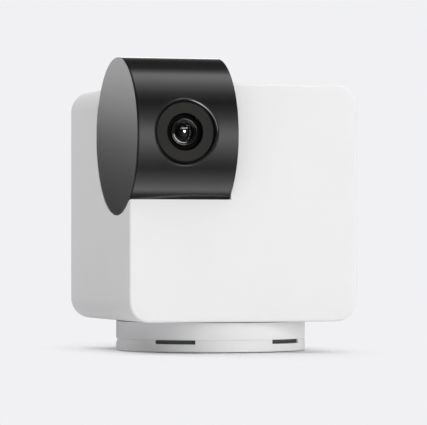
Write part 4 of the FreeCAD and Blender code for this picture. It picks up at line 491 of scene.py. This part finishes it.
def nose_ring():
    """Retaining ring round the front glass: a rounded rim outside, a dark cone, and a bevel at the glass."""
    rim, lip, bevel = 0.22, 0.1, 0.25
    wall = GLASS_RADIUS + HAIR
    skirt = SOCKET_RADIUS + HAIR
    outline = [(wall, GLASS_SEAT), (wall, GLASS_MOUTH - lip), (wall + bevel - HAIR, GLASS_MOUTH - HAIR / 2),
               (wall + bevel, GLASS_MOUTH + lip)]
    outline += arc((NOSE_RADIUS - rim, BARREL_FRONT - rim), rim, 135, 0, steps=9)
    outline += [(NOSE_RADIUS, SHOULDER + HAIR), (skirt, SHOULDER + HAIR), (skirt, GLASS_SEAT)]
    return turned(outline, steps=96)


def crown(radius, sphere, top):
    """The outline of a domed face from the axis to a radius, with the middle of the dome at top."""
    return arc((0.0, top - sphere), sphere, 90, 90 - math.degrees(math.asin(radius / sphere)), steps=12)


def front_element():
    """Front glass: a meniscus with a ground bevel and edge."""
    bevel, chamfer = 0.12, 0.1
    face_sphere, face_proud, hollow_sphere, hollow_proud = 8.4, 0.55, 2.7, 0.05
    back = GLASS_SEAT + HAIR
    face = crown(GLASS_RADIUS - bevel, face_sphere, GLASS_MOUTH + face_proud)
    hollow = crown(GLASS_OPENING, hollow_sphere, GLASS_MOUTH + hollow_proud)
    rim = [(GLASS_RADIUS, face[-1][1] - bevel), (GLASS_RADIUS, back + chamfer), (GLASS_RADIUS - chamfer, back)]
    return turned(face + rim + hollow[::-1], steps=96)


LAMP_CIRCLE, LAMP_FRONT, LAMP_SIZE, LAMP_HEIGHT, DOME_RADIUS = 7.6, -3.5, 1.8, 1.3, 0.75


def infrared_lamps():
    """Four surface-mounted lamps: a square body with a clear dome."""
    bm = bmesh.new()
    half, top, sunk = LAMP_SIZE / 2, LAMP_HEIGHT - DOME_RADIUS, 0.05
    for angle in (45, 135, 225, 315):
        turn = math.radians(angle)
        place = Matrix.Translation((LAMP_CIRCLE * math.cos(turn), LAMP_CIRCLE * math.sin(turn),
                                    LAMP_FRONT - LAMP_HEIGHT))
        join(bm, block((-half, -half, 0.0), (half, half, top)), place)
        dome = [(0.0, top - sunk), (DOME_RADIUS, top - sunk)] + arc((0.0, top), DOME_RADIUS, 0, 90, steps=8)
        join(bm, turned(dome, steps=24), place)
    return bm


piece("barrel_with_thread", lens_barrel(), "lens_barrel", LENS, finish=matt_anodised)
piece("barrel_nose_ring", nose_ring(), "lens_barrel", LENS, finish=black_anodised)
piece("front_element", front_element(), "front_glass", LENS)
piece("infrared_lamp_domes", infrared_lamps(), "infrared_lamps", LENS)


# ---- screws

HEAD_RADIUS, HEAD_HEIGHT, HEAD_ROUND, HEAD_CHAMFER = 1.9, 1.2, 0.55, 0.08
SHANK_RADIUS, SHANK_THREAD_DEPTH, SHANK_PITCH = 1.0, 0.28, 0.9
# How far each screw's cross happened to stop from the last one's, in radians
CROSS_TURN = 2.4


def cross_tool():
    """The cross-shaped drift that punches a screw's recess."""
    bm = bmesh.new()
    wide, reach, deep, above, taper = 0.19, 1.0, 0.8, 0.1, 0.45
    corners = [Matrix.Rotation(quarter * math.pi / 2, 3, "Z") @ Vector(corner) for quarter in range(4)
               for corner in ((reach, -wide, above), (reach, wide, above), (wide, wide, above))]
    top = bm.faces.new([bm.verts.new(corner) for corner in corners])
    down = bmesh.ops.extrude_face_region(bm, geom=[top])["geom"]
    foot = [item for item in down if isinstance(item, bmesh.types.BMVert)]
    bmesh.ops.transform(bm, verts=foot, matrix=Matrix.Translation((0, 0, -deep - above))
                        @ Matrix.Diagonal((taper, taper, 1.0, 1.0)))
    bmesh.ops.recalc_face_normals(bm, faces=bm.faces)
    return bm


def cross_screw(length):
    """A self-tapping pan-head screw with its point down, the top of its head at zero height."""
    point, tip, end_of_thread, below_head = 0.9, 0.15, 0.5, 0.2
    core = SHANK_RADIUS - SHANK_THREAD_DEPTH
    outline = [(0.0, 0.0)] + arc((HEAD_RADIUS - HEAD_ROUND, -HEAD_ROUND), HEAD_ROUND, 90, 0, steps=5)
    outline += [(HEAD_RADIUS, HEAD_CHAMFER - HEAD_HEIGHT), (HEAD_RADIUS - HEAD_CHAMFER, -HEAD_HEIGHT),
                (core, -HEAD_HEIGHT), (core, point - length), (tip, -length), (0.0, -length)]
    bm = cut(turned(outline, steps=32), cross_tool())
    join(bm, thread(SHANK_RADIUS, core - THREAD_SUNK, SHANK_PITCH, end_of_thread - length,
                    -HEAD_HEIGHT - below_head, steps=16))
    return bm


def screws(node):
    """A node's screws, each where its plain solid is."""
    bm = bmesh.new()
    for count, (low, high, points) in enumerate(solids(node)):
        size, middle = high - low, (low + high) / 2
        along = max(range(3), key=lambda axis: size[axis])
        # the head is the end where the solid is widest
        widest = max(points, key=lambda point: sum((point[axis] - middle[axis]) ** 2 for axis in range(3)
                                                   if axis != along))
        out = Vector()
        out[along] = math.copysign(1.0, widest[along] - middle[along])
        place = Matrix.Translation(middle + out * size[along] / 2)
        place = place @ out.to_track_quat("Z", "Y").to_matrix().to_4x4()
        join(bm, cross_screw(size[along]), place @ Matrix.Rotation(count * CROSS_TURN, 4, "Z"))
    return bm


for group in ("cover_screws", "base_screws", "motor_screws", "board_screws", "carrier_screws", "tilt_gear_screws"):
    piece("cross_" + group, screws(group), group)


# ---- base

FOOT_OUTER, FOOT_INNER, FOOT_TOP = 25.55, 21.65, 1.05
INSERT_RADIUS, INSERT_LOW, INSERT_HIGH = 5.0, 0.3, 4.9
STAND_THREAD_RADIUS, STAND_THREAD_PITCH = 3.175, 1.27


def foot_ring():
    """Rubber ring with rounded lips and two shallow grooves in its sole."""
    lip, groove_half, groove_floor, groove_depth = 0.3, 0.3, 0.15, 0.18
    outline = arc((FOOT_INNER + lip, lip), lip, 180, 270, steps=4)
    for groove in (1, 2):
        middle = FOOT_INNER + groove * (FOOT_OUTER - FOOT_INNER) / 3
        outline += [(middle - groove_half, 0.0), (middle - groove_floor, groove_depth),
                    (middle + groove_floor, groove_depth), (middle + groove_half, 0.0)]
    outline += arc((FOOT_OUTER - lip, lip), lip, 270, 360, steps=4)
    return turned(outline + [(FOOT_OUTER, FOOT_TOP), (FOOT_INNER, FOOT_TOP)], steps=128)


def stand_insert():
    """Brass insert: two knurled bands outside with a groove between, a quarter-inch thread inside."""
    knurls, knurl_depth, thread_depth = 48, 0.28, 0.55
    mouth, lead_in, lead_rise, first_turn, chamfer = 0.4, 0.3, 0.5, 0.3, 0.2
    groove_half, groove_slope, groove_depth = 0.3, 0.1, 0.5
    bore, neck, groove = STAND_THREAD_RADIUS, INSERT_RADIUS - groove_depth, (INSERT_LOW + INSERT_HIGH) / 2
    outline = [(bore, INSERT_LOW + mouth), (bore + mouth, INSERT_LOW), (INSERT_RADIUS - lead_in, INSERT_LOW),
               (INSERT_RADIUS, INSERT_LOW + lead_rise), (INSERT_RADIUS, groove - groove_half - groove_slope),
               (neck, groove - groove_half), (neck, groove + groove_half),
               (INSERT_RADIUS, groove + groove_half + groove_slope), (INSERT_RADIUS, INSERT_HIGH - chamfer),
               (INSERT_RADIUS - chamfer, INSERT_HIGH), (bore, INSERT_HIGH)]
    bm = turned(outline, steps=2 * knurls)
    for vert in bm.verts:
        column = round(math.atan2(vert.co.y, vert.co.x) * knurls / math.pi)
        if vert.co.xy.length > INSERT_RADIUS - HAIR / 2 and column % 2:
            vert.co.xy *= 1 - knurl_depth / INSERT_RADIUS
    join(bm, thread(bore - thread_depth, bore + THREAD_SUNK, STAND_THREAD_PITCH, INSERT_LOW + first_turn,
                    INSERT_HIGH, steps=32))
    return bm


TONGUE_LOW, TONGUE_HIGH = Vector((-3.35, 20.9, 4.4)), Vector((3.35, 26.0, 5.1))


def inlet_tongue():
    """Contact tongue: a moulded plate with a thicker root and its nose chamfered for the plug."""
    nose_long, narrower, thinner, overlap = 0.5, 0.15, 0.12, 0.1
    root_long, wider, thicker = 1.3, 0.3, 0.35
    edge, end_edge = 0.06, 0.1
    low, high = TONGUE_LOW, TONGUE_HIGH
    bm = block(low, (high.x, high.y - nose_long, high.z), edge)
    join(bm, block((low.x + narrower, high.y - nose_long - overlap, low.z + thinner),
                   (high.x - narrower, high.y, high.z - thinner), end_edge))
    join(bm, block((low.x - wider, low.y, low.z - thicker),
                   (high.x + wider, low.y + root_long, high.z + thicker), end_edge))
    return bm


def inlet_contacts():
    """Twelve gold contacts above the tongue and twelve below, half sunk in it."""
    bm = bmesh.new()
    count, pitch, wide, proud, behind, ahead = 12, 0.5, 0.26, 0.03, 1.4, 0.7
    for place in range(count):
        x = (place - (count - 1) / 2) * pitch
        for face in (TONGUE_HIGH.z, TONGUE_LOW.z):
            join(bm, block((x - wide / 2, TONGUE_LOW.y + behind, face - proud),
                           (x + wide / 2, TONGUE_HIGH.y - ahead, face + proud), 0.0))
    return bm


def lead_socket(low, high, out, side):
    """A lead socket: a box open towards an axis's given side."""
    wall, edge = 0.5, 0.07
    bm = block(low, high, 0.0)
    mouth = max(bm.faces, key=lambda face: side * face.calc_center_median()[out])
    bmesh.ops.inset_individual(bm, faces=[mouth], thickness=wall)
    floor = bmesh.ops.extrude_discrete_faces(bm, faces=[mouth])["faces"][0]
    inward = Vector()
    inward[out] = -side * (high[out] - low[out] - wall)
    bmesh.ops.translate(bm, vec=inward, verts=floor.verts)
    bmesh.ops.bevel(bm, geom=bm.edges[:], offset=edge, segments=1, profile=0.5, affect="EDGES", material=-1)
    return bm


def socket_pins(low, high, out, side, row, pitch):
    """Four square pins standing in a socket, in a row along an axis."""
    bm = bmesh.new()
    count, half, edge = 4, Vector((0.15, 0.15, 0.15)), 0.04
    sunk, short = 0.3, 0.7
    at_low, at_high = (sunk, short) if side > 0 else (short, sunk)
    for pin in range(count):
        middle = (low + high) / 2
        middle[row] += (pin - (count - 1) / 2) * pitch
        foot, tip = middle - half, middle + half
        foot[out], tip[out] = low[out] + at_low, high[out] - at_high
        join(bm, block(foot, tip, edge))
    return bm


def power_coil(low, high):
    """A moulded coil: a rounded ferrite body on two folded tags."""
    tag_thick, tag_long, tag_tall, tag_in, tag_edge, body_edge = 0.15, 0.52, 0.9, 1.2, 0.05, 0.3
    bm = block((low.x, low.y, low.z + tag_thick), high, body_edge)
    for side in (low.x - HAIR, high.x - tag_long + HAIR):
        join(bm, block((side, low.y + tag_in, low.z), (side + tag_long, high.y - tag_in, low.z + tag_tall),
                       tag_edge))
    return bm


def capacitor_can(radius, height):
    """A can capacitor's crimped can."""
    foot, chamfer, crimp, crimp_half, crimp_depth, edge = 0.3, 0.1, 0.74, 0.12, 0.16, 0.15
    outline = [(0.0, foot), (radius - chamfer, foot), (radius, foot + chamfer), (radius, crimp - crimp_half),
               (radius - crimp_depth, crimp), (radius, crimp + crimp_half)]
    outline += arc((radius - edge, height - edge), edge, 0, 90, steps=3)
    return turned(outline + [(0.0, height)], steps=32)


def power_parts():
    """What stands on the power board, each where its plain solid is, by what it is made of."""
    # the socket is wider than the first, the coil than the second, and the cans are narrower
    socket_width, coil_width = 4.5, 3.0
    foot_tall, foot_edge = 0.4, 0.1
    parts = {name: bmesh.new() for name in ("socket", "pins", "coil", "cans", "feet")}
    for low, high, _ in solids("power_parts"):
        wide, middle = high.x - low.x, (low + high) / 2
        if wide > socket_width:
            join(parts["socket"], lead_socket(low, high, out=2, side=1))
            join(parts["pins"], socket_pins(low, high, out=2, side=1, row=0, pitch=1.0))
        elif wide > coil_width:
            join(parts["coil"], power_coil(low, high))
        else:
            join(parts["cans"], capacitor_can(wide / 2, high.z - low.z),
                 Matrix.Translation((middle.x, middle.y, low.z)))
            join(parts["feet"], block(low, (high.x, high.y, low.z + foot_tall), foot_edge))
    return parts


def small_parts(specs, plane, face, side):
    """Small parts on a board. Each is (middle, size, height); plane gives the board's two axes, and face where
    it is along the third, on whose given side they stand."""
    bm = bmesh.new()
    up = 3 - sum(plane)
    for middle, size, tall in specs:
        low, high = Vector(), Vector()
        for axis, centre, width in zip(plane, middle, size):
            low[axis], high[axis] = centre - width / 2, centre + width / 2
        low[up], high[up] = sorted((face, face + side * tall))
        join(bm, block(low, high, min(SMALL_EDGE, tall / 4)))
    return bm


piece("rubber_foot_ring", foot_ring(), "foot_pad")
piece("knurled_stand_insert", stand_insert(), "thread_insert")
piece("inlet_tongue_plate", inlet_tongue(), "usb_tongue")
piece("inlet_contacts", inlet_contacts(), "usb_tongue", finish=gold_flash, stands_for=False)
POWER_FINISHES = (ivory_nylon, gold_flash, ferrite, drawn_aluminium, black_nylon)
for (kind, shape), finish in zip(power_parts().items(), POWER_FINISHES):
    piece("power_board_" + kind, shape, "power_parts", finish=finish)

# ---- body electronics


def main_board_sockets():
    """The main board's lead sockets, open towards the left, and their pins."""
    sockets, pins = bmesh.new(), bmesh.new()
    for low, high, _ in solids("board_sockets"):
        join(sockets, lead_socket(low, high, out=0, side=-1))
        join(pins, socket_pins(low, high, out=0, side=-1, row=1, pitch=1.25))
    return sockets, pins


def chip_legs(middle, size, tall):
    """A chip's two rows of bent legs, as specs for small_parts: a foot on the board and a bend up to the chip."""
    count, foot, foot_out, thick, bend, bend_out = 4, 0.8, 0.35, 0.15, 0.2, 0.06
    # as shares of the legs' pitch and of the chip's height
    wide_share, bend_share = 0.45, 0.55
    pitch = size[1] / count
    wide, bend_height = pitch * wide_share, tall * bend_share
    specs = []
    for leg in range(count):
        along = middle[1] + (leg - (count - 1) / 2) * pitch
        for edge in (-1, 1):
            specs.append(((middle[0] + edge * (size[0] / 2 + foot_out), along), (foot, wide), thick))
            specs.append(((middle[0] + edge * (size[0] / 2 + bend_out), along), (bend, wide), bend_height))
    return specs


def speaker_cone():
    """Speaker cone with a half-round surround at its rim and a dust dome in its middle."""
    rim, lip, dome, deep, thick = 11.8, 10.0, 4.0, 1.3, 0.25
    edge, surround, glue = -0.75, 0.7, 0.55
    dome_top, dome_sphere, dome_end = -0.5, 5.05, 52
    front = [(0.0, dome_top)] + arc((0.0, dome_top - dome_sphere), dome_sphere, 90, dome_end, steps=6)[1:-1]
    front += [(dome - glue, -deep), (dome, -deep), (lip, edge)]
    front += arc((lip + surround, edge), surround, 180, 0, steps=8)[1:] + [(rim, edge)]
    return turned(front + [(radius, height - thick) for radius, height in reversed(front)], steps=72)


piece("cone_with_surround", speaker_cone(), "speaker_cone", SPEAKER)
sockets, pins = main_board_sockets()
piece("board_lead_sockets", sockets, "board_sockets")
piece("board_socket_pins", pins, "board_sockets", finish=gold_flash, stands_for=False)

# Each board's two axes, where its face is along the third, the side its parts stand to, and its place
BOARDS = {"main_board": ((1, 2), 31.0, -1, Matrix()), "power_board": ((0, 1), 3.1, 1, Matrix()),
          "sensor_board": ((0, 1), -13.9, 1, LENS), "lamp_board": ((0, 1), -4.8, 1, LENS)}
# (middle, size, height) of each small part, along its board's two axes
memory = ((-18.0, 62.0), (9.0, 11.0), 1.0)
flash = ((17.5, 66.0), (5.2, 5.2), 1.3)
charger = ((-20.0, 36.0), (5.0, 5.0), 0.9)
amplifier = ((4.0, 28.0), (4.0, 5.0), 1.2)
clock = ((17.0, 42.0), (3.0, 3.0), 0.8)
chips = [memory, flash, charger, amplifier, clock]
legs = chip_legs(*flash) + chip_legs(*amplifier)
passives = [((y, z), (1.6, 0.8), 0.5) for y in (-13.0, 13.0) for z in (46.0, 48.0, 50.0, 74.0, 76.0)]
passives += [((-26.5 + 2.2 * count, 43.5), (0.8, 1.6), 0.6) for count in range(6)]
passives += [((10.0 + 2.0 * count, 22.8), (0.8, 1.6), 0.5) for count in range(5)]
passives += [((-20.0, 48.0), (4.0, 4.0), 2.0), ((-14.5, 30.0), (3.0, 3.0), 1.6)]
converter = [((0.0, 14.6), (3.9, 3.0), 1.4)]
filters = [((x, 18.0), (0.6, 1.2), 0.5) for x in (-4.0, -2.6, 2.6, 4.0)]
filters += [((9.4, y), (1.6, 0.8), 0.6) for y in (9.0, 10.6)]
flat_lead = [((0.0, -9.6), (13.0, 2.8), 1.1), ((0.0, -8.0), (12.4, 0.5), 1.3)]
edges = [((x, 9.6), (0.8, 1.6), 0.5) for x in (-8.0, -6.0, -4.0, 4.0, 6.0, 8.0)]
edges += [((side * 9.6, y), (1.6, 0.8), 0.5) for side in (-1, 1) for y in (-4.0, -2.0, 0.0, 2.0, 4.0)]
resistors = [((side * 7.7, 0.0), (0.8, 1.6), 0.45) for side in (-1, 1)]
resistors += [((0.0, side * 7.7), (1.6, 0.8), 0.45) for side in (-1, 1)]
for name, specs, board, finish, slot in (
        ("main_board_chips", chips, "main_board", chip_epoxy, "black_plastic"),
        ("main_board_chip_legs", legs, "main_board", rolled_steel, "steel"),
        ("main_board_passives", passives, "main_board", ferrite, "black_plastic"),
        ("power_board_chip", converter, "power_board", chip_epoxy, "black_plastic"),
        ("power_board_passives", filters, "power_board", ferrite, "black_plastic"),
        ("sensor_board_connector", flat_lead, "sensor_board", ivory_nylon, "ivory_plastic"),
        ("sensor_board_passives", edges, "sensor_board", ferrite, "black_plastic"),
        ("lamp_board_resistors", resistors, "lamp_board", ferrite, "black_plastic")):
    plane, face, side, place = BOARDS[board]
    piece(name, small_parts(specs, plane, face, side), board, place, finish, stands_for=False)


# ---- studio

BACKDROP, PAPER, SKY = "#F1F1F3", "#EDEDEF", "#FCFCFF"
# Radiance of the sky, and of a strip at the ramp's full white
FILL, BRIGHTEST = 0.17, 4.0
# Where the strips' middle is to the side, how far from it they start to fade, and where they are gone
STRIPS_MIDDLE, STRIPS_FADE, STRIPS_END = 0.29, 0.12, 0.32
# Beside the strips, a dim wall above the first height and a white table below the second
WALL, TABLE, WALL_FOOT, TABLE_EDGE = 0.1, 1.0, -0.3, -0.6
# How much of the strips shows through the glass
THROUGH_GLASS = 0.35
# (angle about the sideways axis from straight ahead, up positive, radiance)
STRIPS = ((-180, 0.1), (-130, 0.06), (-98, 0.05), (-94, 0.35), (-88, 0.9), (-80, 0.74), (-68, 0.42), (-51, 0.1),
          (-40, 0.2), (-27, 0.455), (-8, 0.95), (0, 1.05), (8, 0.9), (25, 0.33), (38, 0.13), (50, 0.03),
          (62, 0.17), (77, 0.6), (92, 1.03), (101, 0.95), (108, 0.35), (116, 0.06), (134, 0.03), (150, 0.05),
          (167, 0.3), (172, 3.2), (176, 3.2), (180, 0.3))


def studio_world():
    """Pale backdrop for the eye, an even sky for the lamps' fill, and soft strip lights for gloss and glass."""
    world = bpy.data.worlds.new("studio")
    scene.world = world
    world.use_nodes = True
    tree = world.node_tree
    tree.nodes.clear()
    backdrop = add(tree, "Background", {"Color": BACKDROP, "Strength": 1.0})
    fill = add(tree, "Background", {"Color": SKY, "Strength": FILL})
    towards = add(tree, "SeparateXYZ", {"Vector": add(tree, "TexCoord").outputs["Generated"]}).outputs
    forward = add(tree, "Math", {0: towards["Y"], 1: -1.0}, operation="MULTIPLY")
    height = add(tree, "Math", {0: towards["Z"], 1: forward}, operation="ARCTAN2")
    turn = add(tree, "MapRange", {"Value": height, "From Min": -math.pi, "From Max": math.pi})
    strips = add(tree, "ValToRGB", {"Fac": turn})
    ramp = strips.color_ramp
    ramp.elements.remove(ramp.elements[1])
    for angle, level in STRIPS:
        stop = ramp.elements.new((angle + 180) / 360) if angle > -180 else ramp.elements[0]
        stop.color = (level / BRIGHTEST,) * 3 + (1.0,)
    gloss = add(tree, "Background", {"Color": strips, "Strength": BRIGHTEST})
    off_middle = add(tree, "Math", {0: towards["X"], 1: STRIPS_MIDDLE}, operation="SUBTRACT")
    off_middle = add(tree, "Math", {0: off_middle}, operation="ABSOLUTE")
    aside = add(tree, "MapRange", {"Value": off_middle, "From Min": STRIPS_FADE,
                                   "From Max": STRIPS_END}, interpolation_type="SMOOTHSTEP")
    table = add(tree, "MapRange", {"Value": towards["Z"], "From Min": WALL_FOOT, "From Max": TABLE_EDGE,
                                   "To Min": WALL, "To Max": TABLE}, interpolation_type="SMOOTHSTEP")
    sides = add(tree, "Background", {"Color": "#FFFFFF", "Strength": table})
    gloss = add(tree, "MixShader", {"Fac": aside, 1: gloss, 2: sides})
    rays = add(tree, "LightPath").outputs
    through = add(tree, "Math", {0: rays["Is Transmission Ray"], 1: THROUGH_GLASS}, operation="MULTIPLY")
    mirror = add(tree, "Math", {0: rays["Is Glossy Ray"], 1: through}, operation="MAXIMUM")
    lit = add(tree, "MixShader", {"Fac": mirror, 1: fill, 2: gloss})
    seen = add(tree, "MixShader", {"Fac": rays["Is Camera Ray"], 1: lit, 2: backdrop})
    add(tree, "OutputWorld", {"Surface": seen})
    world.cycles.sampling_method = "NONE"


def hang(name, lamp, place, towards, roll=0.0):
    """Puts a lamp up, aimed along a direction and rolled by some degrees, unseen by gloss and by the camera."""
    made = bpy.data.objects.new(name, lamp)
    made.location = place
    aim = Vector(towards).to_track_quat("-Z", "Y").to_matrix() @ Matrix.Rotation(math.radians(roll), 3, "Z")
    made.rotation_euler = aim.to_euler()
    made.visible_glossy = False
    made.visible_camera = False
    scene.collection.objects.link(made)
    return made


def sun(name, towards, level, spread):
    """A far soft lamp that adds level to a white face it meets squarely."""
    lamp = bpy.data.lights.new(name, "SUN")
    lamp.energy = level * math.pi
    lamp.angle = math.radians(spread)
    return hang(name, lamp, (0.0, 0.0, 0.0), towards)


def softbox(name, place, towards, size, radiance, roll=0.0):
    """A near rectangular lamp, as bright as radiance to an eye that looks into it."""
    lamp = bpy.data.lights.new(name, "AREA")
    lamp.shape = "RECTANGLE"
    lamp.size, lamp.size_y = size
    lamp.energy = radiance * math.pi * size[0] * size[1]
    return hang(name, lamp, place, towards, roll)


def light_only(lamp, pieces):
    """Lets a lamp light nothing but some pieces."""
    lit = bpy.data.collections.new("lit_by_" + lamp.name)
    for thing in pieces:
        lit.objects.link(thing)
    lamp.light_linking.receiver_collection = lamp.light_linking.blocker_collection = lit


def lens_softbox(name, direction, size, radiance, lit):
    """A softbox that only one piece at the lens sees, and which aims at the lens from a direction."""
    centre, distance = LENS.translation * MM, 0.3
    direction = Vector(direction).normalized()
    made = softbox(name, centre + direction * distance, -direction, size, radiance)
    made.visible_glossy = True
    # through the glass it would light the inside of the barrel
    made.visible_transmission = False
    light_only(made, [lit])


def lamps():
    """The lamps over the whole camera, and those for a few pieces only."""
    shapes = frame["nodes"]
    sun("front_lamp", (-0.62, 1.0, -0.12), level=0.6, spread=30)
    sun("top_lamp", (0.0, 0.05, -1.0), level=0.76, spread=90)
    softbox("left_lamp", (-0.4, 0.7, 0.4), (0.4, -0.7, -0.3), size=(0.3, 0.5), radiance=2.5)
    # the drum's cap mirrors this one, as one broad gradient
    cap_lamp = softbox("cap_lamp", (-0.156, 0.36, 0.25), (0.29, -0.957, -0.1), size=(0.5, 0.3), radiance=1.75,
                       roll=-15.0)
    cap_lamp.visible_glossy = True
    light_only(cap_lamp, [shapes["drum_cap"]])
    # the base stands in the body's shadow, and this one fills it
    low_lamp = softbox("low_lamp", (0.4, -0.5, -0.2), (-0.4, 0.5, 0.22), size=(0.3, 0.3), radiance=1.4)
    light_only(low_lamp, [shapes["base_tray"], shapes["base_cover"]])
    glass, ring = (bpy.data.objects[name] for name in ("front_element", "barrel_nose_ring"))
    tube = shapes["drum_shell"]
    for light in (("catch_light", (0.291, -0.956, 0.138), (0.052, 0.044), 170.0, glass),
                  ("arc_light", (0.289, -0.875, 0.388), (0.17, 0.03), 16.0, glass),
                  ("rim_light", (0.70, -0.57, 0.42), (0.14, 0.14), 22.0, ring),
                  ("lip_light", (0.42, -0.67, 0.60), (0.14, 0.14), 16.0, ring),
                  ("hole_light_low", (-0.36, -0.5, -0.79), (0.16, 0.4), 1.9, tube),
                  ("hole_light_side", (-0.64, -0.58, -0.45), (0.3, 0.36), 1.9, tube),
                  ("hole_light_front", (-0.24, -0.84, -0.48), (0.14, 0.2), 1.9, tube)):
        lens_softbox(*light)
    # the tube mirrors the dark of the studio at its foot, and not the white front below it
    shapes["housing_shell"].visible_glossy = False


def floor():
    """A pale sweep: near the camera it is a real lit surface that takes the shadow, and further out it is
    the backdrop's own colour."""
    half_size, lit_within, backdrop_from = 6.0, 0.02, 0.06
    # the lit part is longer from side to side than it is deep, by this much
    depth_share = 0.45
    bm = bmesh.new()
    bmesh.ops.create_grid(bm, x_segments=1, y_segments=1, size=half_size)
    made = put_in_scene("floor", bm)
    sweep, tree, place = blank("matt_paper_sweep")
    place = add(tree, "Mapping", {"Vector": place, "Scale": (1.0, depth_share, 1.0)})
    far = add(tree, "VectorMath", {0: place}, operation="LENGTH")
    far = add(tree, "MapRange", {"Value": far.outputs["Value"], "From Min": lit_within,
                                 "From Max": backdrop_from}, interpolation_type="SMOOTHSTEP")
    rays = add(tree, "LightPath").outputs
    seen = add(tree, "Math", {0: rays["Is Camera Ray"], 1: rays["Is Glossy Ray"]}, operation="MAXIMUM")
    seen = add(tree, "Math", {0: seen, 1: rays["Is Transmission Ray"]}, operation="MAXIMUM")
    share = add(tree, "Math", {0: far, 1: seen}, operation="MULTIPLY")
    lit = add(tree, "BsdfDiffuse", {"Color": PAPER})
    backdrop = add(tree, "Emission", {"Color": BACKDROP, "Strength": 1.0})
    skin = add(tree, "MixShader", {"Fac": share, 1: lit, 2: backdrop})
    add(tree, "OutputMaterial", {"Surface": skin})
    made.data.materials.append(sweep)
    made.visible_glossy = False


def camera():
    """The eye: nearly level, a little left of the front, with a long lens."""
    turn, pitch = math.radians(16.838), 0.5223
    looks_at, distance = Vector((1.08, 0.0, 37.63)), 1103.58
    ahead = Vector((math.sin(turn), math.cos(turn), 0.0))
    lens = bpy.data.cameras.new("camera")
    lens.lens, lens.sensor_width = 268.2, 36.0
    lens.clip_start, lens.clip_end = 0.05, 20.0
    made = bpy.data.objects.new("camera", lens)
    made.location = (looks_at - ahead * distance) * MM
    made.rotation_euler = (math.radians(90 + pitch), 0.0, -turn)
    scene.collection.objects.link(made)
    scene.camera = made


studio_world()
lamps()
floor()
camera()
scene.view_settings.view_transform = "Standard"
